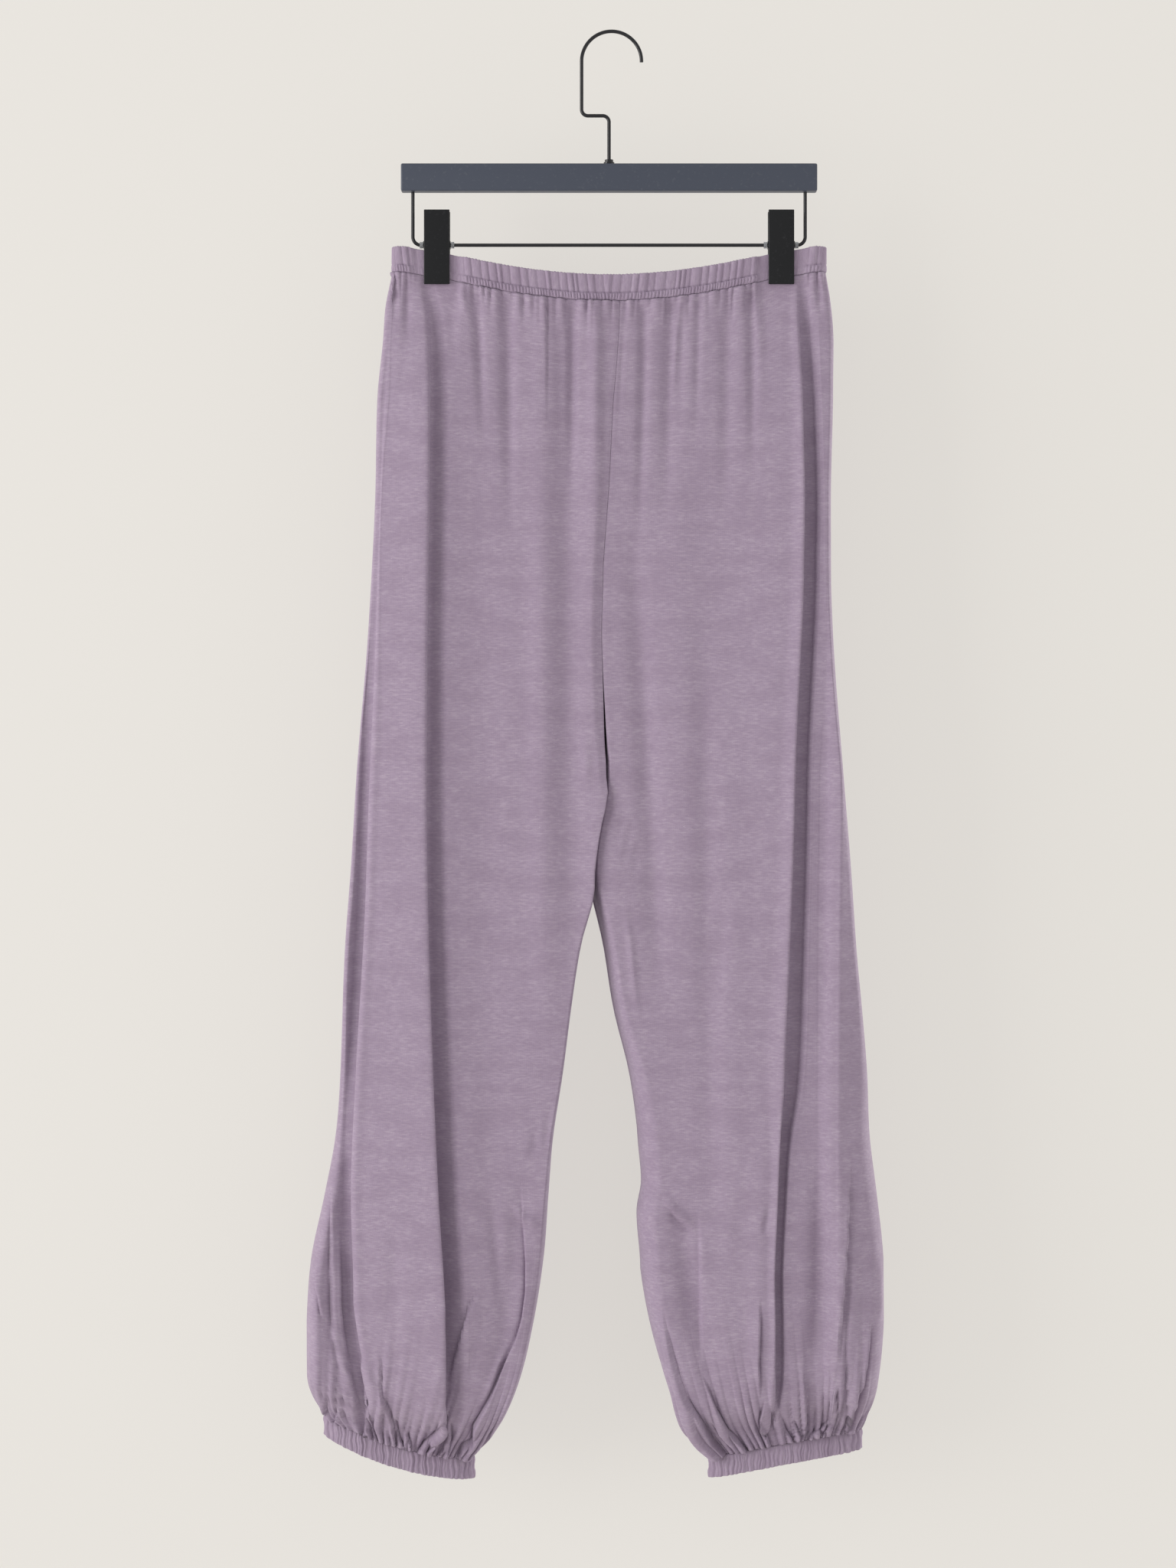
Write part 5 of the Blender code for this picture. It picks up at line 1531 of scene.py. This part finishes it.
class GARMENT_OT_panels(bpy.types.Operator):
    """Makes the two fronts and two backs as thin jersey shells with their folds"""
    bl_idname = "garment.panels"
    bl_label = "Make the legs"

    def execute(self, context):
        settings = context.scene.sweatpants_cloth
        jersey = cloth_material("Lilac jersey", settings, settings.slub, 0.45)
        for side in (LEFT, RIGHT):
            make_front(side, settings, jersey)
            make_back(side, settings, jersey)
        return {"FINISHED"}


class GARMENT_OT_casings(bpy.types.Operator):
    """Makes the waistband and the cuffs, cloth folded over elastic"""
    bl_idname = "garment.casings"
    bl_label = "Make the waistband and cuffs"

    def execute(self, context):
        settings = context.scene.sweatpants_cloth
        jersey = cloth_material("Gathered jersey", settings, settings.slub * 0.8, 0.4)
        make_waistband(jersey)
        for side in (LEFT, RIGHT):
            make_cuff(side, jersey)
        return {"FINISHED"}


class GARMENT_OT_hanger(bpy.types.Operator):
    """Makes the bar, hook, rail, clips and stops of the hanger"""
    bl_idname = "garment.hanger"
    bl_label = "Make the hanger"

    def execute(self, context):
        settings = context.scene.sweatpants_hanger
        finish = wear_group()
        satin = painted_material("Satin charcoal paint", finish, settings.bar_colour,
                                 (0.10, 0.11, 0.13), 0.42, 0.3, 0.0, 0.5)
        gloss = painted_material("Gloss black lacquer", finish, settings.wire_colour,
                                 (0.03, 0.03, 0.035), 0.2, 0.1, 0.2, 0.25)
        clip = painted_material("Satin black paint", finish, settings.clip_colour,
                                (0.03, 0.03, 0.035), 0.3, 0.2, 0.0, 0.3)
        clear = clear_material(settings)
        make_bar(satin)
        make_hook(gloss)
        make_rail(gloss)
        for side in (LEFT, RIGHT):
            make_clip(side, clip)
            x = side.sign * CLIP_X
            offset = PIVOT_WIDTH / 2 + SEAM_GAP
            make_collar("collar_{}_a".format(side.name), x - offset - COLLAR_WIDTH, clear)
            make_collar("collar_{}_b".format(side.name), x + offset, clear)
            repaint("clip_{}_pivot".format(side.name), clip)
        repaint("ferrule", gloss)
        return {"FINISHED"}


class GARMENT_OT_stage(bpy.types.Operator):
    """Sets the pale backdrop and floor, the three soft lights and the camera"""
    bl_idname = "garment.stage"
    bl_label = "Set the stage"

    def execute(self, context):
        settings = context.scene.sweatpants_studio
        wall = plain_material("Pale backdrop", settings.wall_colour, 0.9, settings.wall_glow)
        one_sided(wall)
        floor = plain_material("Pale floor", settings.wall_colour, 0.9, settings.wall_glow)
        low, high, behind = FLOOR_HEIGHT, BACKDROP_TOP, settings.wall_distance
        left, right, near, far = -STAGE_HALF, STAGE_HALF, -FLOOR_HALF_DEPTH, FLOOR_HALF_DEPTH
        stage_plane("backdrop", ((left, behind, low), (right, behind, low), (right, behind, high),
                                 (left, behind, high)), wall)
        stage_plane("floor", ((left, near, low), (right, near, low), (right, far, low),
                              (left, far, low)), floor)
        world = bpy.data.worlds.new("Soft room light")
        world.use_nodes = True
        set_inputs(world.node_tree.nodes["Background"],
                   {"Color": (1.0, 0.985, 0.96, 1), "Strength": settings.sky})
        context.scene.world = world
        for name, place, size, power in LIGHTS:
            area_light(name, place, size, getattr(settings, power))
        camera = place_object("Camera", bpy.data.cameras.new("Camera"))
        camera.data.sensor_fit = "VERTICAL"
        camera.data.sensor_height = SENSOR_HEIGHT
        camera.data.lens = settings.lens
        camera.location = (CAMERA_ACROSS, -settings.distance, CAMERA_HEIGHT)
        camera.rotation_euler = (math.pi / 2, 0, 0)
        context.scene.camera = camera
        context.scene.view_settings.view_transform = "Standard"
        return {"FINISHED"}


class GARMENT_PT_panel(bpy.types.Panel):
    """Lists the steps that dress the sweatpants"""
    bl_idname = "GARMENT_PT_panel"
    bl_label = "Sweatpants"
    bl_space_type = "VIEW_3D"
    bl_region_type = "UI"
    bl_category = "Sweatpants"

    def draw(self, context):
        column = self.layout.column()
        for settings in (context.scene.sweatpants_cloth, context.scene.sweatpants_hanger,
                         context.scene.sweatpants_studio):
            for name in settings.__annotations__:
                column.prop(settings, name)
        for operator in OPERATORS:
            column.operator(operator.bl_idname)


SETTINGS = {"sweatpants_cloth": ClothSettings, "sweatpants_hanger": HangerSettings,
            "sweatpants_studio": StudioSettings}
OPERATORS = (GARMENT_OT_panels, GARMENT_OT_casings, GARMENT_OT_hanger, GARMENT_OT_stage)


def register():
    for name, settings in SETTINGS.items():
        bpy.utils.register_class(settings)
        setattr(bpy.types.Scene, name, PointerProperty(type=settings))
    for operator in OPERATORS:
        bpy.utils.register_class(operator)
    bpy.utils.register_class(GARMENT_PT_panel)


def unregister():
    bpy.utils.unregister_class(GARMENT_PT_panel)
    for operator in reversed(OPERATORS):
        bpy.utils.unregister_class(operator)
    for name, settings in SETTINGS.items():
        delattr(bpy.types.Scene, name)
        bpy.utils.unregister_class(settings)


def main():
    register()
    bpy.ops.garment.panels()
    bpy.ops.garment.casings()
    bpy.ops.garment.hanger()
    bpy.ops.garment.stage()


if __name__ == "__main__":
    main()
